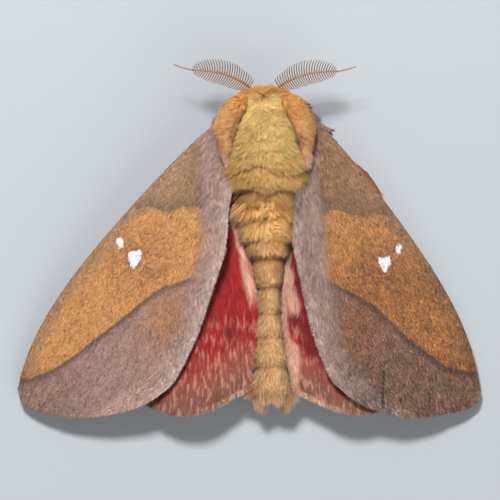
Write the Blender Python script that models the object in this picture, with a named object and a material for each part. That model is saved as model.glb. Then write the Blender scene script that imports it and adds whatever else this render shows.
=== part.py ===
"""A male royal moth at rest, life size: furry body, two pairs of wings, comb feelers and six legs.

Sizes are in millimetres and mesh_object turns them into metres. The body frame has +X to the moth's
right, +Y towards its head and +Z up, with its zero on the floor under the wing roots. ROW_ORIGIN is the
body-frame point that becomes the part's own origin, the middle of its box on the floor.
"""

import math
import random

import bmesh
import bpy
from mathutils import Vector
from mathutils.bvhtree import BVHTree

MM = 0.001
ROW_ORIGIN = Vector((-2.5, -12.5, 0.0))
GAP = 0.3
SIDES = {"left": -1, "right": 1}
UP = Vector((0, 0, 1))
PROBE = Vector((0.31, 0.17, 0.93)).normalized()

# Body, head to tail: each station is y, height of its centre, half width, half height
BODY_SIDES = 20
THORAX = (
    (3.2, 7.1, 0.9, 1.0),
    (2.7, 7.1, 2.0, 2.2),
    (1.5, 7.0, 3.2, 3.4),
    (0.0, 6.8, 4.1, 4.1),
    (-2.0, 6.8, 4.4, 4.3),
    (-4.5, 6.7, 4.5, 4.2),
    (-6.6, 6.3, 4.0, 3.8),
    (-7.9, 5.9, 3.1, 3.0),
    (-8.5, 5.7, 1.7, 1.7),
)
THORAX_RINGS = 16
ABDOMEN = (
    (-6.4, 5.6, 2.8, 2.7),
    (-9.5, 5.5, 3.1, 3.0),
    (-12.4, 5.2, 2.6, 2.75),
    (-14.3, 4.95, 2.2, 2.55),
    (-15.7, 4.8, 1.9, 2.4),
    (-17.6, 4.6, 1.55, 2.25),
    (-20.4, 4.35, 1.5, 2.15),
    (-22.6, 4.1, 1.65, 2.15),
    (-24.6, 4.0, 1.9, 2.15),
    (-27.0, 3.9, 2.0, 2.05),
    (-29.3, 3.9, 2.15, 1.8),
    (-30.2, 3.9, 1.7, 1.2),
)
SEGMENT_ENDS = (-6.4, -9.9, -12.5, -14.6, -17.7, -20.4, -23.1, -26.4, -29.3)
SEGMENT_LAP = 0.16
TAIL_RINGS = 2
END_BULGE = 0.2

# Locks of hair: tiers over the thorax from the wing roots to the waist, and tufts round the tail
LOCK_RINGS = ((-0.1, 0.6, 0.9, -0.45), (0.3, 1.0, 1.0, 0.05), (0.7, 0.72, 0.7, 0.1))
LOCK_THICKNESS = 0.5
LOCK_LIFT = 0.2
THORAX_TIERS = 6
FIRST_TIER, LAST_TIER = 0.42, 0.95
LOCKS_PER_TIER = 9
TIER_SPREAD = math.radians(66)
THORAX_LOCK = (2.1, 1.4)
# Tail tufts: x and z of the root, then x, y and z of the tip, and the width
TAIL_TUFTS = (
    (-1.3, 4.2, -1.6, -32.15, 3.9, 1.5),
    (-0.9, 3.2, -1.2, -31.7, 2.9, 1.2),
    (0.75, 4.6, 1.15, -31.6, 4.5, 1.7),
    (0.6, 3.3, 0.9, -31.5, 2.9, 1.4),
    (1.6, 4.0, 2.35, -32.1, 3.7, 1.1),
    (-0.3, 4.7, -0.2, -30.9, 4.7, 1.2),
)
TAIL_ROOT_Y = -28.9
SIDE_TUFTS = 5

HEAD_CENTRE = Vector((0, 2.85, 5.7))
HEAD_HALF = Vector((2.3, 1.35, 2.1))
COLLAR_CENTRE = Vector((0, 2.3, 7.4))
COLLAR_HALF = Vector((3.3, 1.45, 2.2))
EYE_CENTRE = Vector((1.95, 3.1, 5.3))
EYE_RADIUS = 0.95
PALP_PATH = ((0.65, 3.1, 4.2), (0.75, 3.6, 3.7), (0.8, 3.95, 3.3))
PALP_RADII = (0.42, 0.42, 0.3)

# Tegulae, the hairy flaps that lie over the wing roots
TEGULA_PATH = ((2.0, 3.1, 8.9), (3.3, 2.0, 9.3), (4.15, 0.2, 9.25), (4.4, -1.8, 9.05), (4.3, -4.3, 8.6))
TEGULA_HALF_WIDTHS = (0.6, 1.35, 1.8, 1.5, 0.6)
TEGULA_HALF_THICKNESS = 0.95
TEGULA_TILT = math.radians(45)
TEGULA_LOCKS = 4

# Feelers: a comb of side branches, then a bare tip
FEELER_PATH = (
    (1.25, 3.4, 6.1),
    (1.6, 4.15, 6.6),
    (2.6, 4.9, 6.9),
    (4.55, 5.75, 7.2),
    (6.6, 6.15, 7.2),
    (8.3, 6.33, 7.1),
    (10.3, 7.05, 7.0),
)
FEELER_TURN = {"left": 0.0, "right": math.radians(-5)}
FEELER_RADII = (0.3, 0.26, 0.25, 0.12)
COMB_START, COMB_END = 0.19, 0.71
BRANCHES = 9
BRANCH_LENGTH = {1: 1.45, -1: 1.25}
BRANCH_LEAN = 0.28
BRANCH_ROOT, BRANCH_TIP = 0.24, 0.08

# Wings: outlines in mm along the wing and across it towards the inner margin, seen from above
WING_THICKNESS = 0.5
FOREWING_ROOT = {"left": (5.65, 0.05), "right": (5.9, -0.05)}
FOREWING_SPREAD = {"left": math.radians(37.8), "right": math.radians(29.2)}
FOREWING_STRETCH = {"left": 1.05, "right": 1.0}
TORNUS_SHORTER = {"left": 0.0012, "right": 0.0}
FOREWING_COSTA = (
    (-1.8, 1.2), (0.2, -0.1), (3.0, -0.8), (8.0, -1.6), (14.5, -2.35), (20.5, -2.75),
    (25.5, -2.65), (29.5, -2.05), (32.5, -1.15), (34.3, -0.3),
)
FOREWING_TERMEN = (
    (34.3, -0.3), (35.0, 1.0), (34.8, 2.6), (34.0, 4.9), (32.8, 7.2), (31.0, 9.6), (28.9, 11.6),
    (26.6, 12.7),
)
FOREWING_INNER = (
    (2.4, 4.9), (5.6, 6.3), (9.6, 8.8), (13.5, 10.2), (17.8, 11.7), (21.0, 12.5), (24.0, 12.95),
    (26.6, 12.7),
)
# Hindwing outlines are mm out from the body's midline and along the body
HINDWING_COSTA = (
    (2.6, -3.2), (6.0, -2.7), (9.0, -3.9), (11.0, -5.35), (12.4, -7.3), (13.1, -9.4), (13.9, -12.5),
    (15.2, -16.5), (16.8, -20.5), (18.0, -24.0),
)
HINDWING_OUTER = (
    (18.0, -24.0), (17.6, -26.6), (16.0, -29.0), (13.6, -30.6), (11.0, -31.6), (8.4, -31.6),
    (6.2, -30.9), (4.4, -30.0), (2.6, -29.1),
)
HINDWING_INNER = (
    (2.4, -6.5), (2.6, -10.0), (2.2, -14.0), (1.6, -18.0), (1.5, -21.0), (1.9, -25.0), (2.6, -29.1),
)
HINDWING_LONGER = {"left": 0.0, "right": 0.012}

# Veins: share of the way across the wing, and where each starts along it. The cell vein crosses the rest.
FOREWING_VEINS = (
    (0.09, 0.0), (0.2, 0.0), (0.33, 0.5), (0.44, 0.5), (0.55, 0.5), (0.66, 0.0), (0.78, 0.4), (0.9, 0.0),
)
HINDWING_VEINS = ((0.13, 0.0), (0.3, 0.0), (0.43, 0.45), (0.57, 0.45), (0.71, 0.0), (0.86, 0.0))
FOREWING_CELL = (0.5, 0.2, 0.66)
HINDWING_CELL = (0.45, 0.3, 0.71)
VEIN_HALF_WIDTH = 0.02
VEIN_HEIGHT = 0.14
FOREWING_ROWS = 10
HINDWING_ROWS = 9

# Height of the forewing sheet: a roof that falls outwards and a little towards the tail
ROOF_RIDGE_X = 4.0
ROOF_RIDGE_Z = 7.9
ROOF_SLOPE = {"left": 0.17, "right": 0.25}
ROOF_BOW = {"left": 0.003, "right": 0.004}
ROOF_FALL_BACK = 0.015
HINDWING_BELOW = 1.1
HINDWING_DIP = 2.2
DIP_OUT_X, DIP_IN_X = 9.0, 2.5
DIP_START_Y, DIP_FULL_Y = -6.0, -14.0

# Legs: root, knee, ankle, ball and toe of each, with the half thickness at those places
FOOT_Z, ANKLE_Z = 0.26, 0.75
LEG_PATHS = {
    "foreleg_left": (
        (1.6, 0.6, 3.3), (3.6, 1.1, 3.4), (4.9, 0.2, ANKLE_Z), (5.2, -0.8, FOOT_Z), (5.3, -2.2, FOOT_Z),
    ),
    "foreleg_right": (
        (1.6, 0.6, 3.3), (3.6, 0.9, 3.4), (5.2, 0.4, ANKLE_Z), (5.9, 0.0, FOOT_Z), (7.3, -0.7, FOOT_Z),
    ),
    "midleg": (
        (1.9, -1.8, 3.1), (5.0, -3.0, 3.7), (7.4, -4.4, ANKLE_Z), (8.1, -4.9, FOOT_Z), (9.6, -5.8, FOOT_Z),
    ),
    "hindleg": (
        (1.9, -4.6, 3.1), (4.7, -8.2, 3.6), (6.5, -13.2, ANKLE_Z), (6.9, -14.4, FOOT_Z), (7.5, -16.6, FOOT_Z),
    ),
}
LEG_RADII = (0.75, 0.72, 0.48, 0.32, 0.28)
LEG_SIDES = 10
LEG_RINGS = 12

COLOURS = {
    "thorax_fur": (0.62, 0.43, 0.13),
    "body_fur": (0.62, 0.36, 0.13),
    "shoulder_fur": (0.52, 0.27, 0.10),
    "forewing": (0.47, 0.22, 0.07),
    "hindwing": (0.42, 0.05, 0.06),
    "eye": (0.02, 0.012, 0.01),
    "feeler": (0.25, 0.12, 0.04),
    "leg_fur": (0.36, 0.24, 0.20),
}
ROUGHNESS = {"eye": 0.15, "feeler": 0.5}


def material(name):
    made = bpy.data.materials.get(name) or bpy.data.materials.new(name)
    made.use_nodes = True
    shader = made.node_tree.nodes["Principled BSDF"]
    shader.inputs["Base Color"].default_value = (*COLOURS[name], 1.0)
    shader.inputs["Roughness"].default_value = ROUGHNESS.get(name, 0.85)
    shader.inputs["Metallic"].default_value = 0.0
    return made


def mesh_object(name, shape, finish=None):
    """An object of a closed shape, which is points in mm in the body frame and faces."""
    points, faces = shape
    mesh = bpy.data.meshes.new(name)
    mesh.from_pydata([(Vector(p) - ROW_ORIGIN) * MM for p in points], [], faces)
    work = bmesh.new()
    work.from_mesh(mesh)
    bmesh.ops.recalc_face_normals(work, faces=work.faces)
    work.to_mesh(mesh)
    work.free()
    if finish:
        mesh.materials.append(material(finish))
    made = bpy.data.objects.new(name, mesh)
    bpy.context.scene.collection.objects.link(made)
    return made


def keep_largest(obj):
    """Leaves only the closed surface with the most volume, in triangles."""
    work = bmesh.new()
    work.from_mesh(obj.data)
    bmesh.ops.triangulate(work, faces=work.faces)
    unseen = set(work.faces)
    shells = []
    while unseen:
        front = [unseen.pop()]
        shell = list(front)
        while front:
            near = {f for e in front.pop().edges for f in e.link_faces} & unseen
            unseen -= near
            front.extend(near)
            shell.extend(near)
        volume = sum(a.dot(b.cross(c)) for a, b, c in ([v.co for v in f.verts] for f in shell))
        shells.append((volume, shell))
    shells.sort(key=lambda pair: pair[0])
    dropped = [face for _, shell in shells[:-1] for face in shell]
    bmesh.ops.delete(work, geom=dropped, context="FACES")
    work.to_mesh(obj.data)
    work.free()


def apply_modifiers(obj):
    graph = bpy.context.evaluated_depsgraph_get()
    made = bpy.data.meshes.new_from_object(obj.evaluated_get(graph))
    obj.modifiers.clear()
    obj.data = made
    keep_largest(obj)


def cut(obj, *shapes):
    """Cuts closed shapes out of an object."""
    for shape in shapes:
        cutter = mesh_object("cutter", shape)
        modifier = obj.modifiers.new("cut", "BOOLEAN")
        modifier.operation = "DIFFERENCE"
        modifier.object = cutter
        apply_modifiers(obj)
        bpy.data.objects.remove(cutter)


def join(obj, shapes):
    """Joins closed shapes to an object by one union on a collection."""
    pieces = bpy.data.collections.new("pieces")
    for shape in shapes:
        piece = mesh_object("piece", shape)
        bpy.context.scene.collection.objects.unlink(piece)
        pieces.objects.link(piece)
    modifier = obj.modifiers.new("join", "BOOLEAN")
    modifier.operation = "UNION"
    modifier.operand_type = "COLLECTION"
    modifier.collection = pieces
    modifier.solver = "MANIFOLD"
    apply_modifiers(obj)
    for piece in list(pieces.objects):
        bpy.data.objects.remove(piece)
    bpy.data.collections.remove(pieces)


def spline_point(points, t):
    """The point at t, from 0 to 1, on a Catmull-Rom curve through the points, evenly by their count."""
    last = len(points) - 1
    place = min(max(t, 0.0), 1.0) * last
    i = min(int(place), last - 1)
    f = place - i
    b, c = Vector(points[i]), Vector(points[i + 1])
    a = Vector(points[i - 1]) if i else b * 2 - c
    d = Vector(points[i + 2]) if i + 2 <= last else c * 2 - b
    return (b * 2 + (c - a) * f + (a * 2 - b * 5 + c * 4 - d) * f * f + (b * 3 - c * 3 + d - a) * f**3) / 2


def spline_value(values, t):
    return spline_point([(value, 0) for value in values], t).x


def smooth_step(start, end, x):
    t = min(max((x - start) / (end - start), 0.0), 1.0)
    return t * t * (3 - 2 * t)


def mirrored(point, side):
    return Vector((point[0] * SIDES[side], point[1], point[2]))


def loft(rings, tips=(None, None)):
    """A closed shape through rings of one count, with a point to close each end, by default its middle."""
    count = len(rings[0])
    points = [p for ring in rings for p in ring]
    faces = []
    for r in range(len(rings) - 1):
        for i in range(count):
            j = (i + 1) % count
            faces.append((r * count + i, r * count + j, (r + 1) * count + j, (r + 1) * count + i))
    for tip, first in zip(tips, (0, (len(rings) - 1) * count)):
        points.append(tip or sum(map(Vector, points[first:first + count]), Vector()) / count)
        middle = len(points) - 1
        faces += [(middle, first + i, first + (i + 1) % count) for i in range(count)]
    return points, faces


def tube(path, radii, sides, rings, floor=None):
    """A round tube along a smooth path. floor clamps it to a level, which makes small flats."""
    made = []
    for r in range(rings):
        t = r / (rings - 1)
        ahead = spline_point(path, min(t + 0.01, 1)) - spline_point(path, max(t - 0.01, 0))
        across = ahead.cross(UP).normalized()
        over = across.cross(ahead).normalized()
        radius = spline_value(radii, t)
        ring = []
        for i in range(sides):
            a = math.tau * i / sides
            p = spline_point(path, t) + (across * math.cos(a) + over * math.sin(a)) * radius
            if floor is not None:
                p.z = max(p.z, floor)
            ring.append(p)
        made.append(ring)
    return loft(made)


def ball(centre, half, grow=0.0, sides=20, rings=11):
    """An ellipsoid with its poles along Y."""
    made = []
    for i in range(rings):
        a = math.pi * (i + 0.5) / rings
        width, height = (half.x + grow) * math.sin(a), (half.z + grow) * math.sin(a)
        ring = []
        for k in range(sides):
            turn = math.tau * k / sides
            offset = Vector((width * math.cos(turn), (half.y + grow) * math.cos(a), height * math.sin(turn)))
            ring.append(centre + offset)
        made.append(ring)
    reach = Vector((0, half.y + grow, 0))
    return loft(made, (centre + reach, centre - reach))


def lock(root, tip, out, width):
    """A flat tapered lock of hair. Its root is sunk against out, and its tip lies free.

    Each of LOCK_RINGS is a share of the run, then of the width and thickness, and its rise.
    """
    run = tip - root
    side = run.cross(out).normalized()
    lift = side.cross(run).normalized()
    rings = []
    for share, breadth, depth, rise in LOCK_RINGS:
        middle = root + run * share + lift * rise
        across = side * width / 2 * breadth
        over = lift * LOCK_THICKNESS / 2 * depth
        rings.append([middle + across, middle + over, middle - across, middle - over])
    return loft(rings, (None, tip))


def search_trees(*names):
    """Search trees of finished nodes, to keep other pieces clear of them."""
    made = []
    for name in names:
        mesh = bpy.data.objects[name].data
        points = [v.co / MM + ROW_ORIGIN for v in mesh.vertices]
        made.append(BVHTree.FromPolygons(points, [list(face.vertices) for face in mesh.polygons]))
    return made


def holds(tree, point):
    """Whether a point is inside a tree's closed surface: a ray from it leaves an odd number of times."""
    crossings = 0
    found = tree.ray_cast(point, PROBE)[0]
    while found:
        crossings += 1
        found = tree.ray_cast(found + PROBE * 1e-4, PROBE)[0]
    return crossings % 2 == 1


def is_clear(shape, trees):
    """Whether no point of a shape is in, or much closer than the gap to, what the trees hold."""
    return not any(tree.find_nearest(p)[3] < GAP * 0.9 or holds(tree, p) for p in shape[0] for tree in trees)


def body_point(station, angle, grow=0.0):
    y, centre_z, half_width, half_height = station
    return Vector((
        (half_width + grow) * math.cos(angle), y, centre_z + (half_height + grow) * math.sin(angle)
    ))


def body_ring(station, grow=0.0):
    return [body_point(station, math.tau * i / BODY_SIDES, grow) for i in range(BODY_SIDES)]


def rounded(rings, grow):
    """A closed shape through body rings, with a slight bulge past each end."""
    first, last = (sum(ring, Vector()) / len(ring) for ring in (rings[0], rings[-1]))
    reach = Vector((0, END_BULGE + grow, 0))
    return loft(rings, (first + reach, last - reach))


def thorax_form(grow=0.0):
    stations = [spline_point(THORAX, i / (THORAX_RINGS - 1)) for i in range(THORAX_RINGS)]
    return rounded([body_ring(station, grow) for station in stations], grow)


def abdomen_station(y):
    for a, b in zip(ABDOMEN, ABDOMEN[1:]):
        if b[0] <= y:
            return Vector(a).lerp(Vector(b), (y - a[0]) / (b[0] - a[0]))
    return Vector(ABDOMEN[-1])


def abdomen_form(grow=0.0):
    """Each segment widens a little to its rear edge and laps the next one."""
    rings = []
    for start, end in zip(SEGMENT_ENDS, SEGMENT_ENDS[1:]):
        for share, lap in ((0.02, -SEGMENT_LAP), (0.55, 0.0), (0.97, SEGMENT_LAP / 2)):
            rings.append(body_ring(abdomen_station(start + (end - start) * share), grow + lap))
    start, end = SEGMENT_ENDS[-1], ABDOMEN[-1][0]
    for i in range(TAIL_RINGS):
        y = start + (end - start) * (i + 1) / TAIL_RINGS
        rings.append(body_ring(abdomen_station(y), grow))
    return rounded(rings, grow)


def thorax_locks(draw, trees):
    """Tiers of short locks over the back, each row staggered against the one before."""
    length, width = THORAX_LOCK
    made = []
    for tier in range(THORAX_TIERS):
        t = FIRST_TIER + (LAST_TIER - FIRST_TIER) * tier / (THORAX_TIERS - 1)
        for i in range(LOCKS_PER_TIER):
            place = (i + 0.5 * (tier % 2)) / (LOCKS_PER_TIER - 0.5) * 2 - 1
            angle = math.radians(90) + TIER_SPREAD * place + draw.uniform(-0.06, 0.06)
            root = body_point(spline_point(THORAX, t), angle)
            ahead = body_point(spline_point(THORAX, t + 0.02), angle) - root
            around = body_point(spline_point(THORAX, t), angle + 0.02) - root
            out = around.cross(ahead).normalized()
            if out.dot(root - Vector((0, root.y, 6.0))) < 0:
                out.negate()
            reach = length * draw.uniform(0.85, 1.15)
            tip = root + ahead.normalized() * reach + out * LOCK_LIFT * reach
            shape = lock(root, tip, out, width * draw.uniform(0.85, 1.1))
            if is_clear(shape, trees):
                made.append(shape)
    return made


def tail_locks(draw, trees):
    """The tufts round the claspers, and a few short ones that flare from the last segment."""
    made = []
    for root_x, root_z, tip_x, tip_y, tip_z, width in TAIL_TUFTS:
        root, tip = Vector((root_x, TAIL_ROOT_Y, root_z)), Vector((tip_x, tip_y, tip_z))
        made.append(lock(root, tip, UP if root_z > 4 else -UP, width))
    for side in SIDES:
        for i in range(SIDE_TUFTS):
            angle = math.radians(-60 + 120 * i / (SIDE_TUFTS - 1))
            root = mirrored(body_point(abdomen_station(TAIL_ROOT_Y), angle, -0.1), side)
            out = (root - Vector((0, root.y, 3.9))).normalized()
            tip = root + out * 0.6 + Vector((0, -1.8 * draw.uniform(0.85, 1.1), 0))
            made.append(lock(root, tip, out, 1.0))
    return [shape for shape in made if is_clear(shape, trees)]


def make_body(draw):
    """The abdomen and thorax come after the wings and tegulae, which their locks stay clear of."""
    abdomen = mesh_object("abdomen", abdomen_form(), "body_fur")
    wings = [f"{wing}_{side}" for wing in ("forewing", "hindwing") for side in SIDES]
    join(abdomen, tail_locks(draw, search_trees(*wings)))
    cut(abdomen, thorax_form(GAP))
    thorax = mesh_object("thorax", thorax_form(), "thorax_fur")
    tegulae = [f"tegula_{side}" for side in SIDES]
    join(thorax, thorax_locks(draw, search_trees("abdomen", "collar", *wings, *tegulae)))


def collar_form(grow=0.0):
    return ball(COLLAR_CENTRE, COLLAR_HALF, grow)


def head_form(grow=0.0):
    return ball(HEAD_CENTRE, HEAD_HALF, grow)


def eye_form(side, grow=0.0):
    return ball(mirrored(EYE_CENTRE, side), Vector((1, 1, 1)) * EYE_RADIUS, grow, 16, 9)


def make_head():
    collar = mesh_object("collar", collar_form(), "shoulder_fur")
    cut(collar, thorax_form(GAP))
    head = mesh_object("head", head_form(), "shoulder_fur")
    cut(head, thorax_form(GAP), collar_form(GAP), *(eye_form(side, GAP) for side in SIDES))
    for side in SIDES:
        eye = mesh_object(f"eye_{side}", eye_form(side), "eye")
        cut(eye, thorax_form(GAP), collar_form(GAP))
        path = [mirrored(p, side) for p in PALP_PATH]
        palp = mesh_object(f"palp_{side}", tube(path, PALP_RADII, 8, 6), "shoulder_fur")
        cut(palp, head_form(GAP))


def feeler_point(side, t):
    """A point of a feeler's shaft, turned about its root as on that side."""
    root = Vector(FEELER_PATH[0])
    p = spline_point(FEELER_PATH, t) - root
    c, s = math.cos(FEELER_TURN[side]), math.sin(FEELER_TURN[side])
    return mirrored(root + Vector((p.x * c - p.y * s, p.x * s + p.y * c, p.z)), side)


def comb_share(share):
    """How long the branches are at a share of the comb's length, against the longest."""
    return 0.3 + 0.7 * math.sin(math.pi * min(share * 0.9 + 0.1, 1.0)) ** 0.7


def feeler_branches(side):
    """Tapered branches in two rows, leaning towards the feeler's tip."""
    made = []
    for i in range(BRANCHES):
        share = i / (BRANCHES - 1)
        t = COMB_START + (COMB_END - COMB_START) * share
        root = feeler_point(side, t)
        ahead = (feeler_point(side, t + 0.01) - root).normalized()
        across = UP.cross(ahead).normalized() * SIDES[side]
        for row, longest in BRANCH_LENGTH.items():
            run = (across * row + ahead * BRANCH_LEAN).normalized() * longest * comb_share(share)
            path = [root, root + run * 0.55 + UP * 0.05, root + run + ahead * 0.08]
            made.append(tube(path, (BRANCH_ROOT, (BRANCH_ROOT + BRANCH_TIP) / 2, BRANCH_TIP), 4, 3))
    return made


def make_feelers():
    for side in SIDES:
        path = [feeler_point(side, i / 12) for i in range(13)]
        feeler = mesh_object(f"antenna_{side}", tube(path, FEELER_RADII, 8, 26), "feeler")
        join(feeler, feeler_branches(side))
        cut(feeler, head_form(GAP), collar_form(GAP))


def roof_height(side, x, y):
    """Height of the middle of the forewing sheet over a place x mm out from the body's midline."""
    out = x - ROOF_RIDGE_X
    return ROOF_RIDGE_Z - ROOF_SLOPE[side] * out - ROOF_BOW[side] * out * abs(out) + ROOF_FALL_BACK * y


def hindwing_height(side, x, y):
    """The hindwing lies under the forewing and dips towards the abdomen."""
    dip = smooth_step(DIP_OUT_X, DIP_IN_X, x) * smooth_step(DIP_START_Y, DIP_FULL_Y, y)
    return roof_height(side, x, y) - HINDWING_BELOW - HINDWING_DIP * dip


def forewing_place(side, along, across):
    """Turns a forewing outline point into x out from the midline and y."""
    root, spread = FOREWING_ROOT[side], FOREWING_SPREAD[side]
    along *= FOREWING_STRETCH[side] - TORNUS_SHORTER[side] * across
    return (
        root[0] + along * math.sin(spread) - across * math.cos(spread),
        root[1] - along * math.cos(spread) - across * math.sin(spread),
    )


def hindwing_place(side, x, y):
    """One hindwing shows a little further at its outer margin."""
    return x, y * (1 + HINDWING_LONGER[side] * smooth_step(-10.0, -30.0, y))


def patch_point(outline, along, across):
    """A point of the sheet that the front edge, outer margin and inner margin span (a Coons patch)."""
    front, outer, inner = outline
    root, rear = Vector(front[0]), Vector(inner[0])
    tip, tornus = Vector(front[-1]), Vector(inner[-1])
    edges = spline_point(front, along) * (1 - across) + spline_point(inner, along) * across
    ends = root.lerp(rear, across) * (1 - along) + spline_point(outer, across) * along
    corners = root.lerp(rear, across) * (1 - along) + tip.lerp(tornus, across) * along
    return edges + ends - corners


def vein_grid(veins, cell, rows):
    """Where the sheet's rows and columns lie: three columns to a vein, three rows to the cell vein."""
    columns = {0.0, 1.0}
    for across, _ in veins:
        columns |= {across - VEIN_HALF_WIDTH, across, across + VEIN_HALF_WIDTH}
    lines = {r / (rows - 1) for r in range(rows) if abs(r / (rows - 1) - cell[0]) > 2 * VEIN_HALF_WIDTH}
    lines |= {cell[0] - VEIN_HALF_WIDTH, cell[0], cell[0] + VEIN_HALF_WIDTH}
    return sorted(lines), sorted(columns)


def vein_height(veins, cell, along, across):
    """Height of the vein at a crossing of the grid's lines, lower towards the outer margin."""
    on_vein = any(across == place and along >= start for place, start in veins)
    on_cell = along == cell[0] and cell[1] <= across <= cell[2]
    return VEIN_HEIGHT * (1 - 0.6 * along) if on_vein or on_cell else 0.0


def wing_sheet(side, outline, place, height, veins, cell, rows, thickness=WING_THICKNESS):
    """A thin plate with raised veins, split alike on both faces."""
    lines, columns = vein_grid(veins, cell, rows)
    top, low = [], []
    for along in lines:
        for across in columns:
            x, y = place(side, *patch_point(outline, along, across))
            half = thickness / 2 + vein_height(veins, cell, along, across)
            z = height(side, x, y)
            top.append(Vector((x * SIDES[side], y, z + half)))
            low.append(Vector((x * SIDES[side], y, z - half)))
    count, wide, long = len(top), len(columns), len(lines)
    faces = []
    for r in range(long - 1):
        for k in range(wide - 1):
            a, b = r * wide + k, r * wide + k + 1
            d, e = a + wide, b + wide
            for first in (0, count):
                faces += [(first + a, first + b, first + e), (first + a, first + e, first + d)]
    rim = list(range(wide))
    rim += [r * wide + wide - 1 for r in range(1, long)]
    rim += [(long - 1) * wide + k for k in range(wide - 2, -1, -1)]
    rim += [r * wide for r in range(long - 2, 0, -1)]
    for a, b in zip(rim, rim[1:] + rim[:1]):
        faces += [(a, count + a, count + b), (a, count + b, b)]
    return top + low, faces


def forewing_form(side, grow=0.0):
    outline = (FOREWING_COSTA, FOREWING_TERMEN, FOREWING_INNER)
    thickness = WING_THICKNESS + 2 * grow
    return wing_sheet(
        side, outline, forewing_place, roof_height, FOREWING_VEINS, FOREWING_CELL, FOREWING_ROWS, thickness
    )


def hindwing_form(side):
    outline = (HINDWING_COSTA, HINDWING_OUTER, HINDWING_INNER)
    return wing_sheet(
        side, outline, hindwing_place, hindwing_height, HINDWING_VEINS, HINDWING_CELL, HINDWING_ROWS
    )


def make_wings():
    for side in SIDES:
        fore = mesh_object(f"forewing_{side}", forewing_form(side), "forewing")
        cut(fore, thorax_form(GAP), abdomen_form(GAP))
        hind = mesh_object(f"hindwing_{side}", hindwing_form(side), "hindwing")
        cut(hind, thorax_form(GAP), abdomen_form(GAP))


def tegula_frame(t):
    """Place, way ahead, way across and outward way of the tegula at t along it, on the right side."""
    ahead = spline_point(TEGULA_PATH, min(t + 0.02, 1)) - spline_point(TEGULA_PATH, max(t - 0.02, 0))
    lean = Vector((math.sin(TEGULA_TILT), 0, math.cos(TEGULA_TILT)))
    across = ahead.cross(lean).normalized()
    return spline_point(TEGULA_PATH, t), ahead.normalized(), across, across.cross(ahead).normalized()


def tegula_form(side):
    """A long flat lobe, tilted to lie on the shoulder."""
    rings = []
    steps, sides = 14, 14
    for i in range(steps):
        p, _, across, out = tegula_frame(i / (steps - 1))
        half = spline_value(TEGULA_HALF_WIDTHS, i / (steps - 1))
        thick = TEGULA_HALF_THICKNESS * (half / max(TEGULA_HALF_WIDTHS)) ** 0.5
        ring = []
        for k in range(sides):
            a = math.tau * k / sides
            ring.append(mirrored(p + across * half * math.cos(a) + out * thick * math.sin(a), side))
        rings.append(ring)
    return loft(rings)


def tegula_locks(side, draw):
    """Long hairs that trail off the tegula's rear end."""
    made = []
    for i in range(TEGULA_LOCKS):
        p, ahead, across, out = tegula_frame(0.84)
        place = i / (TEGULA_LOCKS - 1) * 2 - 1
        root = p + across * place * 0.75 + out * 0.35
        tip = root + ahead * (2.7 - abs(place) * 0.7 + draw.uniform(-0.2, 0.2)) + out * 0.1
        made.append(lock(mirrored(root, side), mirrored(tip, side), mirrored(out, side), 0.9))
    return made


def make_tegulae(draw):
    for side in SIDES:
        tegula = mesh_object(f"tegula_{side}", tegula_form(side), "shoulder_fur")
        join(tegula, tegula_locks(side, draw))
        cut(tegula, thorax_form(GAP), collar_form(GAP), forewing_form(side, GAP))


def make_legs():
    for side in SIDES:
        for leg in ("foreleg", "midleg", "hindleg"):
            path = LEG_PATHS.get(f"{leg}_{side}") or LEG_PATHS[leg]
            shape = tube([mirrored(p, side) for p in path], LEG_RADII, LEG_SIDES, LEG_RINGS, floor=0.0)
            made = mesh_object(f"{leg}_{side}", shape, "leg_fur")
            cut(made, thorax_form(GAP))


def shade():
    for obj in bpy.context.scene.objects:
        obj.data.shade_smooth()
        obj.data.set_sharp_from_angle(angle=math.radians(50))


def main():
    for obj in list(bpy.data.objects):
        bpy.data.objects.remove(obj)
    draw = random.Random(7)
    make_wings()
    make_head()
    make_feelers()
    make_tegulae(draw)
    make_body(draw)
    make_legs()
    shade()


main()
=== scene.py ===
"""The looks of a male royal moth at rest: skin, fur, scaled wings, comb feelers, eyes and claws.

Sizes are in millimetres in the moth's own frame: +X to its right, +Y towards its head, +Z up, with zero
on the floor under the wing roots. new_mesh turns them into the part's frame, in metres.
"""

import math

import bpy
import numpy as np
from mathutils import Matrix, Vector
from mathutils.bvhtree import BVHTree
from mathutils.kdtree import KDTree


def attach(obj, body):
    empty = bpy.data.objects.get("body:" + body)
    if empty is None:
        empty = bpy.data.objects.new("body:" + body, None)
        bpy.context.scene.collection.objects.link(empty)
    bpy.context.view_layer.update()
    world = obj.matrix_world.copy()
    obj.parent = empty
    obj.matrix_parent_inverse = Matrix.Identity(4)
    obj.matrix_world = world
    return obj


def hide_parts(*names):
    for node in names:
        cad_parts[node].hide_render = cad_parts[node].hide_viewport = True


MM = 0.001
ORIGIN = np.array((-2.5, -12.5, 0.0))
UP = np.array((0.0, 0.0, 1.0))
TAILWARD = np.array((0.0, -1.0, 0.0))
SIDES = {"left": -1, "right": 1}
SEED = 11

# Camera: straight above, rolled a little, with the frame's middle and width on the plane of the wings
VIEW_CENTRE = (-2.0, -13.7)
VIEW_PLANE = 6.0
VIEW_WIDTH = 55.0
VIEW_ROLL = math.radians(-1.5)
CAMERA_HEIGHT = 600.0
SENSOR = 36.0

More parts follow.
